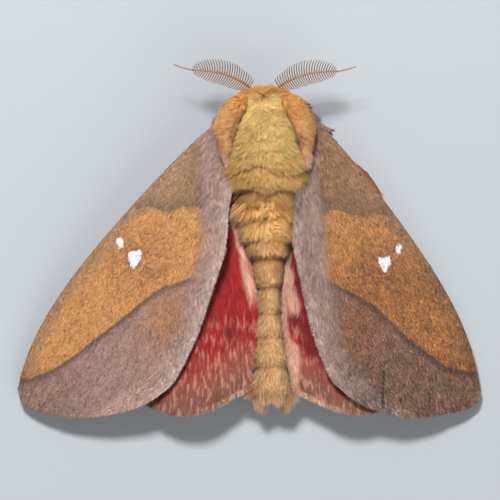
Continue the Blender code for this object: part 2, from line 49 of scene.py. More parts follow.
# Body stations, head to tail: y, height of the centre, half width, half height
THORAX = (
    (3.2, 7.1, 0.9, 1.0),
    (2.7, 7.1, 2.0, 2.2),
    (1.5, 7.0, 3.2, 3.4),
    (0.0, 6.8, 4.1, 4.1),
    (-2.0, 6.8, 4.4, 4.3),
    (-4.5, 6.7, 4.5, 4.2),
    (-6.6, 6.3, 4.0, 3.8),
    (-7.9, 5.9, 3.1, 3.0),
    (-8.5, 5.7, 1.7, 1.7),
)
ABDOMEN = (
    (-6.4, 5.6, 2.8, 2.7),
    (-9.5, 5.5, 3.1, 3.0),
    (-12.4, 5.2, 2.6, 2.75),
    (-14.3, 4.95, 2.2, 2.55),
    (-15.7, 4.8, 1.9, 2.4),
    (-17.6, 4.6, 1.55, 2.25),
    (-20.4, 4.35, 1.5, 2.15),
    (-22.6, 4.1, 1.65, 2.15),
    (-24.6, 4.0, 1.9, 2.15),
    (-27.0, 3.9, 2.0, 2.05),
    (-29.3, 3.9, 2.15, 1.8),
    (-30.2, 3.9, 1.7, 1.2),
)
SEGMENT_ENDS = (-6.4, -9.9, -12.3, -14.6, -17.7, -20.4, -23.1, -26.4, -29.3)
# How deep the gap is behind each segment's end, and how much painted shade darkens its fur
GAP_DEPTH = np.array((0.3, 0.22, 0.85, 0.5, 0.14, 0.1, 0.3, 0.12))
# How far a segment's last hairs reach over the next one, and the whorls in the fur: place, reach and turn
HEM_REACH = 0.8
WHORLS = (((0.5, -10.5), 1.0, 1.6), ((-1.2, -8.9), 1.2, -0.35), ((1.6, -8.2), 0.9, 0.9))
HEAD = ((0.0, 2.85, 5.7), (2.3, 1.35, 2.1))
COLLAR = ((0.0, 2.3, 7.4), (3.3, 1.45, 2.2))
EYE_CENTRE = (1.95, 3.1, 5.3)
EYE_RADIUS = 0.95
PALP_PATH = ((0.65, 3.1, 4.2), (0.75, 3.6, 3.7), (0.8, 3.95, 3.3))
PALP_RADII = (0.42, 0.42, 0.3)
TEGULA_PATH = ((2.0, 3.1, 8.9), (3.3, 2.0, 9.3), (4.15, 0.2, 9.25), (4.4, -1.8, 9.05), (4.3, -4.3, 8.6))
TEGULA_HALF_WIDTHS = (0.6, 1.35, 1.55, 1.15, 0.5)
TEGULA_HALF_THICKNESS = 0.95
TEGULA_TILT = math.radians(45)
TEGULA_POINT = {"left": -0.25, "right": 0.35}

# Depth of the coat on each form, which is how far the skin lies inside it
COAT_DEPTH = {
    "thorax": 0.85, "abdomen": 0.42, "collar": 0.4, "head": 0.4, "tegula": 0.35, "palp": 0.15, "leg": 0.13,
}
# The skin's step, how often it is softened, and how far from it its forms are looked for
SKIN_VOXEL, SKIN_SOFTENINGS, SKIN_SEARCH = 0.17, 3, 3.0
FUR_WIDTH = 0.058
# Tufts round the tail and beside the abdomen's left base: root, tip and count of hairs
TAIL_TUFTS = (
    ((-1.2, -29.1, 4.3), (-1.6, -32.2, 3.9), 1500),
    ((-0.6, -29.1, 4.9), (-0.9, -31.2, 4.7), 800),
    ((0.6, -29.1, 4.9), (0.95, -31.3, 4.7), 1100),
    ((1.5, -29.1, 4.1), (2.25, -32.2, 3.8), 1300),
    ((0.0, -29.1, 3.0), (0.0, -31.4, 3.0), 1200),
    ((1.9, -29.1, 4.2), (3.1, -30.9, 4.1), 700),
    ((-1.9, -29.1, 4.4), (-3.4, -30.2, 4.3), 900),
    ((-2.2, -6.1, 6.9), (-3.9, -8.6, 6.0), 900),
    ((-2.5, -7.2, 6.2), (-3.5, -9.3, 5.7), 800),
    ((-2.8, -8.4, 5.5), (-3.6, -11.0, 5.1), 600),
)
TAIL_TUFT_SPREAD = (0.36, 0.35, 0.28)
TAIL_TUFT_GATHER = 0.35
TAIL_HEIGHT = 3.9

# Feelers
FEELER_PATH = (
    (1.25, 3.4, 6.1),
    (1.6, 4.15, 6.6),
    (2.6, 4.9, 6.9),
    (4.55, 5.75, 7.2),
    (6.6, 6.15, 7.2),
    (8.3, 6.33, 7.1),
    (10.3, 7.05, 7.0),
)
FEELER_TURN = {"left": 0.0, "right": math.radians(-5)}
COMB_START, COMB_END = 0.1, 0.73
RAMI = 26
RAMUS_LENGTH = {1: 1.5, -1: 1.3}
RAMUS_RADII = (0.062, 0.056, 0.048, 0.024)
SHAFT_RINGS = 48

# Wings: outlines in mm along the wing and across it towards the inner margin, seen from above
FOREWING_ROOT = {"left": (5.65, 0.05), "right": (5.9, -0.05)}
FOREWING_SPREAD = {"left": math.radians(37.8), "right": math.radians(29.2)}
FOREWING_STRETCH = {"left": 1.05, "right": 1.0}
TORNUS_SHORTER = {"left": 0.0012, "right": 0.0}
# How much fuller the outer margin is: place across the wing in mm, then mm further along it
OUTER_FULLER = {
    "left": ((-2.0, 0.15), (-0.3, 0.25), (1.5, 0.5), (4.8, 0.65), (8.2, 0.4), (11.5, 0.0)),
    "right": ((-1.0, 0.35), (0.1, 0.55), (4.0, 0.4), (8.6, 0.7), (11.5, 0.1)),
}
FOREWING_OUTLINE = (
    (
        (-1.8, 1.2), (0.2, -0.1), (3.0, -0.8), (8.0, -1.6), (14.5, -2.35), (20.5, -2.75),
        (25.5, -2.65), (29.5, -2.05), (32.5, -1.15), (34.3, -0.3),
    ),
    (
        (34.3, -0.3), (35.0, 1.0), (34.8, 2.6), (34.0, 4.9), (32.8, 7.2), (31.0, 9.6), (28.9, 11.6),
        (26.6, 12.7),
    ),
    (
        (2.4, 4.9), (5.6, 6.3), (9.6, 8.8), (13.5, 10.2), (17.8, 11.7), (21.0, 12.5), (24.0, 12.95),
        (26.6, 12.7),
    ),
)
# Hindwing outlines are mm out from the body's midline and along the body
HINDWING_OUTLINE = (
    (
        (2.6, -3.2), (6.0, -2.7), (9.0, -3.9), (11.0, -5.35), (12.4, -7.3), (13.1, -9.4), (13.9, -12.5),
        (15.2, -16.5), (16.8, -20.5), (18.0, -24.0),
    ),
    (
        (18.0, -24.0), (17.6, -26.6), (16.0, -29.0), (13.6, -30.6), (11.0, -31.6), (8.4, -31.6),
        (6.2, -30.9), (4.4, -30.0), (2.6, -29.1),
    ),
    ((2.4, -6.5), (2.6, -10.0), (2.2, -14.0), (1.6, -18.0), (1.5, -21.0), (1.9, -25.0), (2.6, -29.1)),
)
HINDWING_LONGER = {"left": 0.0, "right": 0.012}
FOREWING_VEINS = (
    (0.09, 0.0), (0.2, 0.0), (0.33, 0.5), (0.44, 0.5), (0.55, 0.5), (0.66, 0.0), (0.78, 0.4), (0.9, 0.0),
)
HINDWING_VEINS = ((0.13, 0.0), (0.3, 0.0), (0.43, 0.45), (0.57, 0.45), (0.71, 0.0), (0.86, 0.0))
ROOF_RIDGE_X = 4.0
ROOF_RIDGE_Z = 7.9
ROOF_SLOPE = {"left": 0.17, "right": 0.25}
ROOF_BOW = {"left": 0.003, "right": 0.004}
ROOF_FALL_BACK = 0.015
HINDWING_BELOW = 1.1
HINDWING_DIP = 2.2
DIP_OUT_X, DIP_IN_X = 9.0, 2.5
DIP_START_Y, DIP_FULL_Y = -6.0, -14.0
# The wings' membranes: half their thickness and its loss at the tip, their veins, waves and rows of points
SHEET_HALF, SHEET_TAPER, RIM_SHARE = 0.16, 0.07, 0.35
VEIN_HEIGHT = 0.045
SHEET_WAVE = 0.06
SHEET_EDGE = 0.988
SHEET_ROWS = {"forewing": (190, 84), "hindwing": (150, 70)}
# The upper side takes one half of the map and the under side the other
MAP_HALF, MAP_STARTS = 0.48, (0.01, 0.51)
WHOLE_SPAN = (0.0, SHEET_EDGE, 0.0, SHEET_EDGE)
UNDER_SPAN = (0.02, 0.97, 0.04, 0.96)
# What skin and membranes have in place of a hair's share, own value and clump
SKIN_SHADE, SHEET_SHADE = (0.1, 0.5, 0.5), (0.6, 0.5, 0.5)

# Legs: root, knee, ankle, ball and toe
LEGS = ("foreleg", "midleg", "hindleg")
FOOT_Z, ANKLE_Z = 0.26, 0.75
LEG_PATHS = {
    "foreleg_left": (
        (1.6, 0.6, 3.3), (3.6, 1.1, 3.4), (4.9, 0.2, ANKLE_Z), (5.2, -0.8, FOOT_Z), (5.3, -2.2, FOOT_Z),
    ),
    "foreleg_right": (
        (1.6, 0.6, 3.3), (3.6, 0.9, 3.4), (5.2, 0.4, ANKLE_Z), (5.9, 0.0, FOOT_Z), (7.3, -0.7, FOOT_Z),
    ),
    "midleg": (
        (1.9, -1.8, 3.1), (5.0, -3.0, 3.7), (7.4, -4.4, ANKLE_Z), (8.1, -4.9, FOOT_Z), (9.6, -5.8, FOOT_Z),
    ),
    "hindleg": (
        (1.9, -4.6, 3.1), (4.7, -8.2, 3.6), (6.5, -13.2, ANKLE_Z), (6.9, -14.4, FOOT_Z), (7.5, -16.6, FOOT_Z),
    ),
}
LEG_RADII = (0.75, 0.72, 0.48, 0.32, 0.28)
LEG_FUR_ABOVE = 0.05

# Markings of the forewings, seen from above in the moth's frame
FIRST_LINE = {
    "left": ((-17.6, -9.9), (-16.4, -9.4), (-14.8, -8.7), (-12.7, -8.7), (-10.9, -9.4), (-9.4, -8.8),
             (-7.4, -8.8), (-4.5, -9.0)),
    "right": ((3.6, -9.7), (5.9, -9.6), (7.9, -9.6), (9.6, -10.2), (10.7, -10.4), (12.0, -10.0),
              (13.3, -10.5), (14.4, -11.1), (16.5, -12.0)),
}
SECOND_LINE = {
    "left": ((-29.5, -27.3), (-26.6, -27.2), (-24.0, -26.2), (-21.6, -24.7), (-19.5, -23.1),
             (-17.3, -21.5), (-15.5, -20.2), (-13.4, -18.5), (-11.6, -17.4), (-9.4, -16.8), (-7.8, -16.0),
             (-6.9, -15.3), (-4.0, -14.0)),
    "right": ((3.6, -15.2), (6.2, -16.8), (7.7, -17.9), (9.6, -18.9), (11.4, -20.0), (13.0, -21.6),
              (15.1, -23.8), (17.3, -25.5), (19.4, -27.1), (21.1, -27.6), (24.5, -27.9)),
}
# Outer edge of the grey hairy band along the inner margin: y, then how far out from the midline
GREY_BAND = {
    "left": ((-4.0, 7.2), (-7.0, 7.0), (-9.2, 6.9), (-11.9, 7.1), (-13.6, 7.3), (-16.3, 8.0), (-19.0, 8.8),
             (-22.3, 9.7), (-24.5, 11.1), (-26.6, 13.4), (-29.3, 16.7), (-31.5, 20.0)),
    "right": ((-4.0, 5.4), (-7.3, 5.7), (-9.7, 6.0), (-12.8, 6.1), (-15.6, 6.2), (-19.4, 6.7), (-22.7, 7.1),
              (-25.2, 8.2), (-27.2, 9.4), (-30.0, 12.0), (-32.0, 15.0)),
}
WHITE_SPOTS = {
    "left": (
        ((-15.35, -13.55), (-14.5, -13.35), (-13.85, -13.35), (-13.95, -14.2), (-14.3, -14.75),
         (-14.85, -15.5), (-15.15, -14.9), (-15.4, -14.2)),
        ((-16.65, -12.0), (-16.15, -11.85), (-15.85, -12.3), (-15.85, -12.9), (-16.3, -13.05),
         (-16.65, -12.65)),
    ),
    "right": (
        ((12.0, -14.75), (12.6, -14.9), (13.4, -14.65), (13.4, -15.55), (13.1, -16.0), (12.8, -16.65),
         (12.35, -15.95), (12.1, -15.35)),
        ((14.05, -13.8), (14.4, -13.3), (14.75, -13.6), (14.5, -14.35), (14.05, -14.35)),
    ),
}
RED_MARKS = {"left": (-15.65, -11.75), "right": (12.05, -11.35)}
OCHRE_PATCH = {"left": (-11.5, -20.9), "right": (10.2, -22.2)}
PATCH_TURN, PATCH_RADII = ((0.94, 0.34), (-0.34, 0.94)), (2.9, 3.9)
# A slit in the right forewing: pressed in, bare of scales, and painted near black as painted shade
SLIT = ((12.4, -27.4), (12.35, -28.6), (12.2, -29.9), (12.15, -31.5))
SLIT_HALF_WIDTH = 0.17
# Where painted shade darkens the right forewing beside the body's fur
SHADE_BESIDE_BODY = ((4.6, -4.6), (4.3, -5.9), (3.5, -7.6), (3.1, -10.0))
CREASE = ((18.1, -28.0), (18.15, -29.9), (18.0, -31.9))
HINDWING_SPOTS = {
    "left": ((4.4, -22.6, 0.8),),
    "right": ((4.6, -22.5, 1.5), (4.9, -24.2, 1.5), (2.8, -21.3, 0.7)),
}
# Offset in mm for the band beside the forewing's inner margin: deeper red there and painted shadow
SHADE_BESIDE_FOREWING = 0.5
CREAM_STREAK = {
    "left": ((3.75, -9.6), (3.3, -12.2), (2.75, -14.3), (2.4, -16.3), (2.1, -17.9), (2.0, -19.3)),
    "right": ((2.35, -13.2), (2.15, -15.3), (2.2, -17.2), (2.45, -19.0), (2.75, -20.4)),
}
# The right hindwing's pale strip beside the abdomen: y, then how far out it reaches
PALE_STRIP = ((-29.0, 2.8), (-26.0, 3.2), (-24.4, 3.1), (-23.3, 2.0), (-17.0, 1.9))
FRINGE_NOTCH = 3.85
# Stands for a distance past all that is near
FAR = 9.0

# Folds across the back's fur, seen from above, with their depth and half width, darkened by painted shade
FOLDS = (
    (((-1.9, -4.5), (-1.4, -4.2), (0.0, -4.1), (0.6, -4.6), (1.1, -5.1), (2.4, -5.0), (3.6, -4.0)), 0.5, 0.2),
    (
        ((-3.4, -7.4), (-2.8, -7.0), (-1.2, -6.9), (0.0, -7.3), (1.1, -6.9), (2.3, -6.8), (3.5, -7.4)),
        0.4, 0.28,
    ),
    (((-2.1, -8.3), (-1.2, -8.7), (-0.2, -9.3), (0.3, -10.1)), 0.4, 0.22),
    (((0.9, -8.0), (1.4, -8.9), (1.3, -9.7)), 0.3, 0.2),
)
FOLDS_ABOVE = 6.5

# Stage: the floor's half size in metres and its colour, and each lamp's place, size and power
FLOOR_HALF = 2.0
PAPER = (148, 152, 156)
LAMPS = {
    "key": ((-0.055, 0.2, 0.35), 0.06, 2.75),
    "fill": ((0.2, -0.32, 0.38), 0.5, 1.7),
}

# Furs: painted shade at their roots, how far hairs differ, and pairs of y and colour, tail to head
FURS = {
    "thorax": (0.72, 0.42, (
        (-9.0, (207, 158, 93)), (-6.0, (205, 164, 97)), (-1.0, (209, 180, 109)), (3.0, (230, 203, 128)),
    )),
    "abdomen": (0.75, 0.45, (
        (-32.0, (212, 178, 132)), (-24.0, (209, 171, 120)), (-17.0, (205, 165, 114)),
        (-13.2, (203, 158, 104)), (-11.4, (235, 187, 111)),
    )),
    "shoulder": (0.7, 0.42, (
        (-6.0, (190, 152, 124)), (-2.0, (202, 154, 102)), (2.0, (206, 156, 93)), (4.0, (208, 151, 77)),
    )),
    "leg": (0.75, 0.5, ((-16.0, (178, 146, 132)), (2.0, (170, 142, 132)))),
}
# Colours of the finishes, from 0 to 255
TINTS = {
    # fur root: the tint of the painted shade towards the hairs' roots
    "fur root": (158, 96, 62), "fur patch": (224, 182, 140),
    # dark fur: the darker tone of head, palps and legs, and painted shade in folds and segment gaps
    "lavender fur": (196, 164, 156), "orange fur": (205, 144, 58), "dark fur": (120, 72, 34),
    "base front": (134, 104, 78), "base": (123, 95, 64), "first line": (96, 74, 60),
    "middle": (162, 114, 62), "middle shade": (116, 70, 36), "middle front": (132, 99, 68),
    "outer": (130, 103, 95), "outer patch": (141, 98, 66), "outer speckle": (92, 64, 50),
    "vein": (84, 58, 50), "second line": (72, 52, 44),
    # slit: painted shade in the right forewing's slit
    "grey band": (148, 120, 110), "grey rim": (164, 141, 133), "dot": (84, 52, 38), "slit": (46, 34, 30),
    # The two tints after the spot ring are painted shade on the forewings, the greyer one over the grey band
    "spot ring": (104, 66, 44), "painted_shade": (183, 164, 143), "grey painted shade": (172, 171, 169),
    "white spot": (206, 202, 210),
    "under front": (166, 120, 78), "under rear": (170, 96, 84), "under outer": (138, 108, 98),
    "deep crimson": (128, 13, 19), "crimson": (145, 31, 30), "rose": (130, 64, 53),
    "brown margin": (105, 68, 53), "wisp": (190, 138, 118), "pale strip": (184, 140, 122),
    "cream streak": (196, 152, 130), "dark crimson": (96, 8, 10), "front lobe": (138, 84, 56),
    "pale rim": (222, 196, 164), "crimson dot": (110, 40, 40),
    "under rose": (198, 120, 106), "under cream": (194, 156, 132),
    "lens": (70, 40, 26), "lens edge": (24, 13, 9), "horn": (88, 52, 30), "dark horn": (48, 26, 16),
    "amber": (142, 95, 40), "dark amber": (112, 70, 30), "umber": (116, 76, 42), "dark umber": (86, 54, 30),
}
LENSES_PER_MM = 11.0


def unit(v):
    return v / np.maximum(np.linalg.norm(v, axis=-1, keepdims=True), 1e-9)


def smooth(start, end, x):
    """0 before start, 1 after end and smooth between."""
    t = np.clip((np.asarray(x, float) - start) / (end - start), 0.0, 1.0)
    return t * t * (3 - 2 * t)


def near(distance, reach):
    """1 at a distance of 0, and next to nothing past twice the reach."""
    return np.exp(-((distance / reach) ** 2))


def curve(points, t):
    """Points at t, from 0 to 1, on a Catmull-Rom curve, evenly by the count of its points."""
    p = np.array(points, float)
    p = p[:, None] if p.ndim == 1 else p
    last = len(p) - 1
    place = np.clip(np.asarray(t, float), 0, 1) * last
    i = np.minimum(place.astype(int), last - 1)
    f = (place - i)[..., None]
    whole = np.vstack([2 * p[0] - p[1], p, 2 * p[-1] - p[-2]])
    a, b, c, d = whole[i], whole[i + 1], whole[i + 2], whole[i + 3]
    return (b * 2 + (c - a) * f + (a * 2 - b * 5 + c * 4 - d) * f**2 + (b * 3 - c * 3 + d - a) * f**3) / 2


def line_distance(place, line):
    """How far each place is from a line of points, in plan."""
    line = np.array(line, float)
    nearest = np.full(len(place), 1e9)
    for a, b in zip(line, line[1:]):
        run = b - a
        share = np.clip(((place - a) @ run) / (run @ run), 0, 1)
        nearest = np.minimum(nearest, np.linalg.norm(place - a - share[:, None] * run, axis=1))
    return nearest


def past_line(place, line):
    """Signed distance in plan from a line that crosses the wing, positive towards the tail."""
    line = np.array(line, float)
    at = np.interp(place[:, 0], line[:, 0], line[:, 1])
    return line_distance(place, line) * np.sign(at - place[:, 1])


def out_of_shape(place, corners):
    """Signed distance in plan from a closed outline, negative inside it."""
    ring = np.array(tuple(corners) + (corners[0],), float)
    inside = np.zeros(len(place), bool)
    for a, b in zip(ring, ring[1:]):
        crosses = (a[1] > place[:, 1]) != (b[1] > place[:, 1])
        rise = b[1] - a[1] or 1e-9
        inside ^= crosses & (place[:, 0] < a[0] + (place[:, 1] - a[1]) * (b[0] - a[0]) / rise)
    return line_distance(place, ring) * np.where(inside, -1, 1)


# Meshes


def new_mesh(name, points, quads, triangles, material, slot, nodes=(), fields=None, bake=None):
    """A piece that rides on the part, from points in mm and faces. bake gives each face corner's place."""
    quads = np.asarray(quads, int).reshape(-1, 4)
    triangles = np.asarray(triangles, int).reshape(-1, 3)
    corners = np.concatenate([quads.ravel(), triangles.ravel()])
    starts = np.concatenate([np.arange(len(quads)) * 4, len(quads) * 4 + np.arange(len(triangles)) * 3])
    mesh = bpy.data.meshes.new(name)
    mesh.vertices.add(len(points))
    mesh.vertices.foreach_set("co", ((np.asarray(points) - ORIGIN) * MM).ravel())
    mesh.loops.add(len(corners))
    mesh.loops.foreach_set("vertex_index", corners.astype(np.int32))
    mesh.polygons.add(len(starts))
    mesh.polygons.foreach_set("loop_start", starts.astype(np.int32))
    mesh.update(calc_edges=True)
    mesh.shade_smooth()
    for label, values in (fields or {}).items():
        layer = mesh.attributes.new(label, "FLOAT_VECTOR", "POINT")
        layer.data.foreach_set("vector", np.asarray(values, np.float32).ravel())
    if bake is not None:
        layer = mesh.uv_layers.new(name="OFBake")
        layer.data.foreach_set("uv", np.asarray(bake, np.float32).ravel())
    if material:
        mesh.materials.append(material)
    made = bpy.data.objects.new(name, mesh)
    bpy.context.scene.collection.objects.link(made)
    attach(made, "root")
    if nodes:
        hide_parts(*nodes)
    return made


def faces_inward(grid):
    """Whether the faces of a grid of rings, row by row, look into the shape."""
    beside = np.roll(grid, -1, axis=1)
    normal = np.cross(beside[1:] - grid[:-1], grid[1:] - beside[:-1])
    out = grid[:-1] - grid[:-1].mean(axis=1, keepdims=True)
    return float(np.sum(normal * out)) < 0


def closed_tube(grid):
    """Points, quads and triangles of a closed shape through rings (rows by columns)."""
    rows, columns = grid.shape[:2]
    index = np.arange(rows * columns).reshape(rows, columns)
    across = np.roll(index, -1, axis=1)
    quads = np.stack([index[:-1], across[:-1], across[1:], index[1:]], axis=-1).reshape(-1, 4)
    ends = np.array([grid[0].mean(0), grid[-1].mean(0)])
    first = np.stack([np.full(columns, rows * columns), across[0], index[0]], axis=-1)
    last = np.stack([np.full(columns, rows * columns + 1), index[-1], across[-1]], axis=-1)
    points, triangles = np.vstack([grid.reshape(-1, 3), ends]), np.vstack([first, last])
    if faces_inward(grid):
        quads, triangles = quads[:, ::-1], triangles[:, ::-1]
    return points, quads, triangles


def merged(shapes):
    """One set of points, quads and triangles from several."""
    points, quads, triangles, first = [], [], [], 0
    for p, q, t in shapes:
        points.append(p)
        quads.append(np.asarray(q, int).reshape(-1, 4) + first)
        triangles.append(np.asarray(t, int).reshape(-1, 3) + first)
        first += len(p)
    return np.vstack(points), np.vstack(quads), np.vstack(triangles)


def tube_grid(path, radii, rows, columns, floor=None):
    """Rings of a round tube along a smooth path. floor clamps it to a level."""
    t = np.linspace(0, 1, rows)
    middle = curve(path, t)
    ahead = unit(curve(path, np.minimum(t + 0.01, 1)) - curve(path, np.maximum(t - 0.01, 0)))
    across = unit(np.cross(ahead, UP))
    over = unit(np.cross(across, ahead))
    radius = curve(radii, t)
    turn = np.linspace(0, math.tau, columns, endpoint=False)
    offset = across[:, None] * np.cos(turn)[None, :, None] + over[:, None] * np.sin(turn)[None, :, None]
    grid = middle[:, None] + offset * radius[:, None]
    if floor is not None:
        grid[..., 2] = np.maximum(grid[..., 2], floor)
    return grid


def ball_grid(centre, half, rows=40, columns=48):
    """Rings of an ellipsoid with its poles along Y, first pole towards the head."""
    polar = math.pi * (np.arange(rows) + 0.5) / rows
    turn = np.linspace(0, math.tau, columns, endpoint=False) - math.pi / 2
    ring = np.stack([np.cos(turn) * half[0], np.zeros(columns), np.sin(turn) * half[2]], axis=-1)
    grid = ring[None] * np.sin(polar)[:, None, None]
    grid[..., 1] = half[1] * np.cos(polar)[:, None]
    return grid + np.array(centre)


def body_grid(stations, shrink, columns=72):
    """Rings round the body, from the belly's middle round to it again, inside its stations by shrink."""
    turn = np.linspace(0, math.tau, columns, endpoint=False) - math.pi / 2
    y, middle, wide, high = np.array(stations).T
    shrink = np.broadcast_to(shrink, y.shape)
    wide, high = np.maximum(wide - shrink, 0.1), np.maximum(high - shrink, 0.1)
    x = wide[:, None] * np.cos(turn)
    z = middle[:, None] + high[:, None] * np.sin(turn)
    return np.stack([x, np.broadcast_to(y[:, None], x.shape), z], axis=-1)


def thorax_stations(rows=60):
    return curve(THORAX, np.linspace(0, 1, rows))


def abdomen_stations(rows=110):
    """Each segment swells to its rear edge and laps the next."""
    known = np.array(ABDOMEN)[::-1]
    y = np.linspace(ABDOMEN[0][0], ABDOMEN[-1][0], rows)
    values = [np.interp(y, known[:, 0], known[:, k]) for k in (1, 2, 3)]
    ends = np.array(SEGMENT_ENDS)
    segment = np.clip(np.searchsorted(-ends, -y, side="right") - 1, 0, len(ends) - 2)
    share = np.clip((ends[segment] - y) / (ends[segment] - ends[segment + 1]), 0, 1)
    lap = 0.16 * (smooth(0.0, 0.9, share) - 0.6 * smooth(0.93, 1.0, share)) - 0.1
    return np.stack([y, values[0], values[1] + lap, values[2] + lap], axis=-1)


def tegula_grid(side, shrink=0.0, rows=40, columns=40):
    """Rings of a long flat lobe, tilted to lie on the shoulder."""
    t = np.linspace(0, 1, rows)
    lean = np.array((math.sin(TEGULA_TILT), 0, math.cos(TEGULA_TILT)))
    ahead = curve(TEGULA_PATH, np.minimum(t + 0.02, 1)) - curve(TEGULA_PATH, np.maximum(t - 0.02, 0))
    across = unit(np.cross(ahead, lean))
    out = unit(np.cross(across, ahead))
    half = curve(TEGULA_HALF_WIDTHS, t)
    thick = TEGULA_HALF_THICKNESS * (half / max(TEGULA_HALF_WIDTHS)) ** 0.5
    turn = np.linspace(0, math.tau, columns, endpoint=False) - math.pi / 2
    wide = across[:, None] * (np.maximum(half - shrink, 0.15))[:, None] * np.cos(turn)[None, :, None]
    high = out[:, None] * (np.maximum(thick - shrink, 0.15))[:, None] * np.sin(turn)[None, :, None]
    grid = curve(TEGULA_PATH, t)[:, None] + wide + high
    grid[..., 0] *= SIDES[side]
    return grid if side == "right" else grid[:, ::-1]


def leg_path(leg, side):
    path = np.array(LEG_PATHS.get(f"{leg}_{side}", LEG_PATHS.get(leg)), float)
    return path * (SIDES[side], 1, 1)


# Tufts

# A tuft is a run of three corners and a tip. Its patch of the map is CORNER wide.
CORNER = 0.003
TUFT_SPOTS = np.array(((-0.5, -0.5), (0.5, -0.5), (0.0, -0.3), (0.0, 0.5)))
TUFT_FACES = np.array(((0, 1, 2), (1, 0, 3), (2, 1, 3), (0, 2, 3)))
FUR_FLAT, WING_HAIR_FLAT, SCALE_FLAT = 0.6, 0.5, 0.3
# How far a tuft is lit as the surface under it is
HAIR_LIGHT, SCALE_LIGHT = 0.52, 0.8
LOWEST_HAIR = 0.02
FIELD_NAMES = ("zone", "lines", "spots", "tones", "rims")


def scatter(grid, count, draw, weight=None, wrap=True):
    """Random places on a grid of points, evenly by area times weight."""
    inward = wrap and faces_inward(grid)
    if wrap:
        grid = np.concatenate([grid, grid[:, :1]], axis=1)
        if weight is not None:
            weight = np.concatenate([weight, weight[:, :1]], axis=1)
    a, b, c, d = grid[:-1, :-1], grid[:-1, 1:], grid[1:, 1:], grid[1:, :-1]
    normal = np.cross(c - a, d - b)
    area = np.linalg.norm(normal, axis=-1)
    if weight is not None:
        area = area * (weight[:-1, :-1] + weight[1:, 1:]) / 2
    total = np.cumsum(area.ravel())
    spot = (np.arange(count) + draw.random(count)) / count * total[-1]
    pick = np.minimum(np.searchsorted(total, spot), area.size - 1)
    row, column = np.unravel_index(pick, area.shape)
    s, t = draw.random((2, count, 1))
    a, b, c, d = (corner[row, column] for corner in (a, b, c, d))
    return {
        "root": (a * (1 - t) + b * t) * (1 - s) + (d * (1 - t) + c * t) * s,
        "normal": unit(normal[row, column]) * (-1 if inward else 1),
        "row": (row + s[:, 0]) / area.shape[0],
        "column": (column + t[:, 0]) / area.shape[1],
    }


def chosen(roots, keep):
    return {label: values[keep] for label, values in roots.items()}


def gathered(*tufts):
    labels = set(tufts[0]).intersection(*tufts[1:])
    return {label: np.concatenate([one[label] for one in tufts]) for label in labels}


def waves(places, draw, reach):
    """A smooth random value about 0 at each place, of hills about reach mm across."""
    ways = draw.normal(0, 2.2 / reach, (6, 3))
    return np.sin(places @ ways.T + draw.uniform(0, math.tau, 6)).sum(axis=1) / 2.4


def nearest_leader(points, leader):
    """For each point, which of the leaders among them is nearest."""
    tree = KDTree(len(leader))
    for i, k in enumerate(leader):
        tree.insert(Vector(points[k]), i)
    tree.balance()
    return np.array([tree.find(Vector(p))[1] for p in points])


def comb(roots, lie, length, rise, draw, width=0.07, clump=8, pull=0.45, curl=0.16, end_rise=0.3, sway=0.0):
    """Grows a hair from each root along lie, rising from the skin, its tip drawn to that of its clump."""
    at, normal = roots["root"], roots["normal"]
    count = len(at)
    if np.any(sway):
        turned = np.cross(normal, unit(lie)) * waves(at, draw, 1.3)[:, None]
        lie = unit(lie) + turned * np.reshape(sway, (-1, 1))
        length = length * (1 + 0.3 * sway * waves(at, draw, 0.9))
    lie = lie - normal * np.sum(lie * normal, axis=1, keepdims=True)
    lie = unit(unit(lie) + draw.normal(0, curl, (count, 3)))
    half = np.broadcast_to(length, (count,))[:, None] * draw.uniform(0.8, 1.15, (count, 1)) * 0.5
    rise = np.broadcast_to(rise, (count,))[:, None]
    tip = at + unit(lie + normal * rise) * half + unit(lie + normal * rise * end_rise) * half
    leader = draw.choice(count, max(count // clump, 1), replace=False)
    own = nearest_leader(at, leader)
    apart = np.linalg.norm(at - at[leader[own]], axis=1, keepdims=True)
    pull = pull * np.clip(1.6 - apart / (2 * np.median(apart) + 0.01), 0.2, 1.0)
    shift = draw.uniform(0, 1, len(leader))[own]
    return {
        **roots, "tip": tip + (tip[leader[own]] - tip) * pull, "clump": shift,
        "width": width * draw.uniform(0.75, 1.2, count), "draw": draw.random(count),
    }


def grow(name, tufts, material, slot, nodes=(), flat=FUR_FLAT):
    """One closed mesh of tapered tufts. Each is a small patch of the map OFBake at its root's place."""
    root, tip, normal = tufts["root"], tufts["tip"], tufts["normal"]
    count, size = len(root), len(TUFT_SPOTS)
    ahead = unit(tip - root)
    across = unit(np.cross(ahead, normal))
    over = np.cross(across, ahead)
    half = tufts["width"][:, None] / 2
    ring = [root - across * half, root + across * half, root + over * half * 2 * flat]
    points = np.stack([*ring, tip], axis=1)
    points[..., 2] = np.maximum(points[..., 2], LOWEST_HAIR)
    middle = np.stack([tufts["column"], tufts["row"]], axis=-1) * (1 - 2 * CORNER) + CORNER
    spots = middle[:, None] + TUFT_SPOTS * CORNER
    tips = np.tile((0.0, 0.0, 0.0, 1.0), count)
    own, clump = np.repeat(tufts["draw"], size), np.repeat(tufts["clump"], size)
    fields = {"hair": np.stack([tips, own, clump], axis=-1), "place": np.repeat(root, size, axis=0)}
    for label in FIELD_NAMES:
        if label in tufts:
            fields[label] = np.repeat(tufts[label], size, axis=0)
    faces = np.arange(count)[:, None, None] * size + TUFT_FACES
    made = new_mesh(
        name, points.reshape(-1, 3), (), faces, material, slot, nodes, fields,
        spots[:, TUFT_FACES.ravel()],
    )
    away = points - (root + (tip - root) * 0.5)[:, None]
    away = away - ahead[:, None] * np.sum(away * ahead[:, None], axis=-1, keepdims=True)
    even = SCALE_LIGHT if flat == SCALE_FLAT else HAIR_LIGHT
    soft = unit(normal[:, None] * even + unit(away) * (1 - even))
    made.data.normals_split_custom_set_from_vertices(soft.reshape(-1, 3).astype(np.float32))


